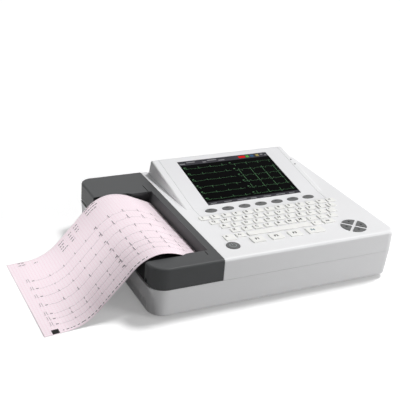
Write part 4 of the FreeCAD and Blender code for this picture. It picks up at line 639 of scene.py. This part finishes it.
chart_lines = bmesh.new()
for base, gain, second_gain in (
    (0.0220, 0.35, 0.6), (0.0365, 0.55, 1.0), (0.0505, -0.45, 0.9), (0.0745, 0.75, -0.7),
    (0.0995, 0.5, -0.9), (0.1230, -0.35, 1.2), (0.1465, 0.45, 0.8),
):
    top = base + STEP_HEIGHT
    step = [(0.015, base), (0.017, base), (0.017, top), (0.020, top), (0.020, base), (0.022, base)]
    draw_line(chart_lines, step, STEP_WIDTH)
    draw_box(chart_lines, 0.0242, base + 0.0004, 0.0284, base + 0.0024)
    points = []
    for k in range(PRINT_STEPS + 1):
        back = TRACE_START + (SLOT_BACK - TRACE_START) * k / PRINT_STEPS
        height = gain if back < SECOND_LEADS else second_gain
        wave = heart_beat(((back - FIRST_BEAT) / BEAT + SPIKE_PHASE) % 1.0)
        points.append((back, base + WAVE_HEIGHT * height * wave))
    draw_line(chart_lines, points, WAVE_WIDTH)
    for beat in range(math.ceil((SLOT_BACK - FIRST_BEAT) / BEAT)):
        back = FIRST_BEAT + beat * BEAT
        height = SPIKE_HEIGHT * (gain if back < SECOND_LEADS else second_gain)
        spike = [(back - 0.0006, base), (back, base + height), (back + 0.0008, base - height / 4)]
        draw_line(chart_lines, spike, SPIKE_WIDTH)
    draw_box(chart_lines, SECOND_LEADS, base + 0.0035, SECOND_LEADS + 0.0040, base + 0.0057)
text_lines = bmesh.new()
spacing = random.Random(5)
for start, top, lines, width in (
    (0.017, 0.207, 2, 0.012), (0.042, 0.198, 1, 0.010), (0.090, 0.201, 4, 0.014),
    (0.112, 0.199, 4, 0.011), (0.126, 0.201, 3, 0.010), (0.156, 0.208, 3, 0.036),
):
    for line in range(lines):
        line_top = top - line * TEXT_PITCH
        spot = start
        end = start + width * spacing.uniform(0.6, 1.0)
        while spot < end:
            word = min(spacing.uniform(0.0020, 0.0055), end - spot)
            draw_box(text_lines, spot, line_top - TEXT_HEIGHT, spot + word, line_top)
            spot += word + WORD_GAP
spot = FOOTER_START
while spot < FOOTER_END:
    word = spacing.uniform(0.002, 0.007)
    draw_box(text_lines, spot, FOOTER_LOW, spot + word, FOOTER_HIGH)
    spot += word + spacing.uniform(0.0015, 0.004)
chart_ink, ink_shader, ink_place = surface("chart_ink")
ink_shader.inputs["Specular IOR Level"].default_value = MATT_SHEEN
dots = ink_place.noise(1600.0, 2.0)
feed(ink_shader,
     Base_Color=dots.mix((0.14, 0.11, 0.13, 1), (0.28, 0.23, 0.26, 1)),
     Roughness=dots * 0.2 + 0.5)
chart_marks = lay("chart_print", chart_lines, on_print, chart_ink)
cue_ink = printed("cue_ink", (0.02, 0.02, 0.02, 1), (0.008, 0.008, 0.008, 1))
chart_texts = lay("chart_text", text_lines, on_print, cue_ink)
cue_box = bmesh.new()
draw_box(cue_box, 0.0130, 0.0010, 0.0236, 0.0118)
cue_mark = lay("cue_mark", cue_box, on_print, cue_ink)
for sheet_piece in (strip, chart_marks, chart_texts, cue_mark):
    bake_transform(sheet_piece)
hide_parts("chart_paper")

# Sockets and inner units: black and plated connector shells in the right and rear walls, the battery's
# shrink wrap and the steel speaker.
socket_black = moulded("socket", (0.050, 0.050, 0.052, 1), (0.032, 0.032, 0.034, 1), 0.4, 1500.0,
                       0.00004)
dress(socket_black, "patient_socket")
dress(steel, "usb_sockets", "network_socket", "speaker")
black_plastic = moulded("black_plastic", (0.040, 0.040, 0.042, 1), (0.024, 0.024, 0.026, 1), 0.5,
                        1800.0, 0.00004)
dress(black_plastic, "mains_inlet", "mains_switch")
battery_wrap = moulded("battery", (0.06, 0.11, 0.24, 1), (0.04, 0.08, 0.18, 1), 0.35, 300.0, 0.00006)
dress(battery_wrap, "battery_pack")

# Studio: a white floor that keeps the machine's shadow, a broad light from the upper right, a softbox
# on the front right, a snooted lamp on the paper, and the camera at the photograph's angle.
FLOOR_SIDE = 12.0
FLOOR_GLOW = 0.22
FLOOR_BOUNCE = 0.26
floor_paint, floor_shader, floor_place = surface("floor")
dust = floor_place.noise(30.0, 3.0)
feed(floor_shader,
     Base_Color=dust.mix((0.95, 0.95, 0.95, 1), (0.97, 0.97, 0.97, 1)),
     Roughness=dust * 0.1 + 0.85,
     Emission_Color=dust.mix((0.98, 0.98, 0.98, 1), (1.0, 1.0, 1.0, 1)))
floor_shader.inputs["Specular IOR Level"].default_value = 0.0
floor_shader.inputs["Emission Strength"].default_value = FLOOR_GLOW


def looked_at(tree):
    """1 for a camera ray or one sent on by a mirror or glass, and 0 for the rays that carry light."""
    paths = tree.nodes.new("ShaderNodeLightPath").outputs
    straight = Wire(paths["Is Camera Ray"])
    mirrored = Wire(paths["Is Glossy Ray"])
    through = Wire(paths["Is Transmission Ray"])
    return straight.math("MAXIMUM", mirrored).math("MAXIMUM", through)


floor_tree = floor_paint.node_tree
seen = looked_at(floor_tree)
dull = seen.make("ShaderNodeBsdfDiffuse", {}, {"Color": (FLOOR_BOUNCE, FLOOR_BOUNCE, FLOOR_BOUNCE, 1)})
shown = seen.make("ShaderNodeMixShader", {}, {0: seen, 1: dull, 2: Wire(floor_shader.outputs[0])})
floor_tree.links.new(shown.socket, floor_tree.nodes["Material Output"].inputs["Surface"])
ground = bmesh.new()
draw_box(ground, -FLOOR_SIDE / 2, -FLOOR_SIDE / 2, FLOOR_SIDE / 2, FLOOR_SIDE / 2)
floor = lay("floor", ground, lambda x, y: Vector((x, y, 0.0)), floor_paint)
world = bpy.data.worlds.new("studio")
world.use_nodes = True
sky = world.node_tree.nodes["Background"]
facing = Wire(world.node_tree.nodes.new("ShaderNodeTexCoord").outputs["Generated"])
ambient = facing.part("X") * 0.17 - facing.part("Y") * 0.06 + 0.21
glow = looked_at(world.node_tree).math("MAXIMUM", ambient)
world.node_tree.links.new(glow.socket, sky.inputs["Strength"])
sky.inputs["Color"].default_value = (1.0, 1.0, 1.0, 1.0)
bpy.context.scene.world = world


def shine(name, kind, place, aim, strength, **settings):
    """A lamp of a kind at a place, turned to face a point."""
    lamp = bpy.data.lights.new(name, kind)
    lamp.energy = strength
    for setting, amount in settings.items():
        setattr(lamp, setting, amount)
    thing = bpy.data.objects.new(name, lamp)
    thing.location = place
    thing.rotation_euler = (Vector(aim) - Vector(place)).to_track_quat("-Z", "Y").to_euler()
    bpy.context.scene.collection.objects.link(thing)


shine("key", "SUN", (0.46, 0.10, 1.0), (0.0, 0.0, 0.0), 2.15, angle=math.radians(14.0))
shine("front", "AREA", (0.85, -1.20, 0.42), (0.05, -0.12, 0.05), 8.5, size=0.5)
shine("snoot", "SPOT", (-1.15, 0.30, 0.30), (-0.28, 0.02, 0.055), 46.0, spot_size=math.radians(14.0),
      spot_blend=1.0, shadow_soft_size=0.12)

lens = bpy.data.cameras.new("camera")
FILM_WIDTH = 36.0
FOCAL_PER_WIDTH = 859.3529 / 400
lens.sensor_width = FILM_WIDTH
lens.lens = FOCAL_PER_WIDTH * FILM_WIDTH
eye = Vector((-0.630589, -1.109340, 0.683268))
ahead = (Vector((0.06152, 0.22464, -0.01654)) - eye).normalized()
level = ahead.cross(Vector((0.0, 0.0, 1.0))).normalized()
upright = level.cross(ahead)
ROLL = math.radians(4.56)
right = level * math.cos(ROLL) + upright * math.sin(ROLL)
upward = upright * math.cos(ROLL) - level * math.sin(ROLL)
camera = bpy.data.objects.new("camera", lens)
camera.matrix_world = Matrix((right, upward, -ahead)).transposed().to_4x4()
camera.location = eye
bpy.context.scene.collection.objects.link(camera)
bpy.context.scene.camera = camera
bpy.context.scene.view_settings.view_transform = "Standard"
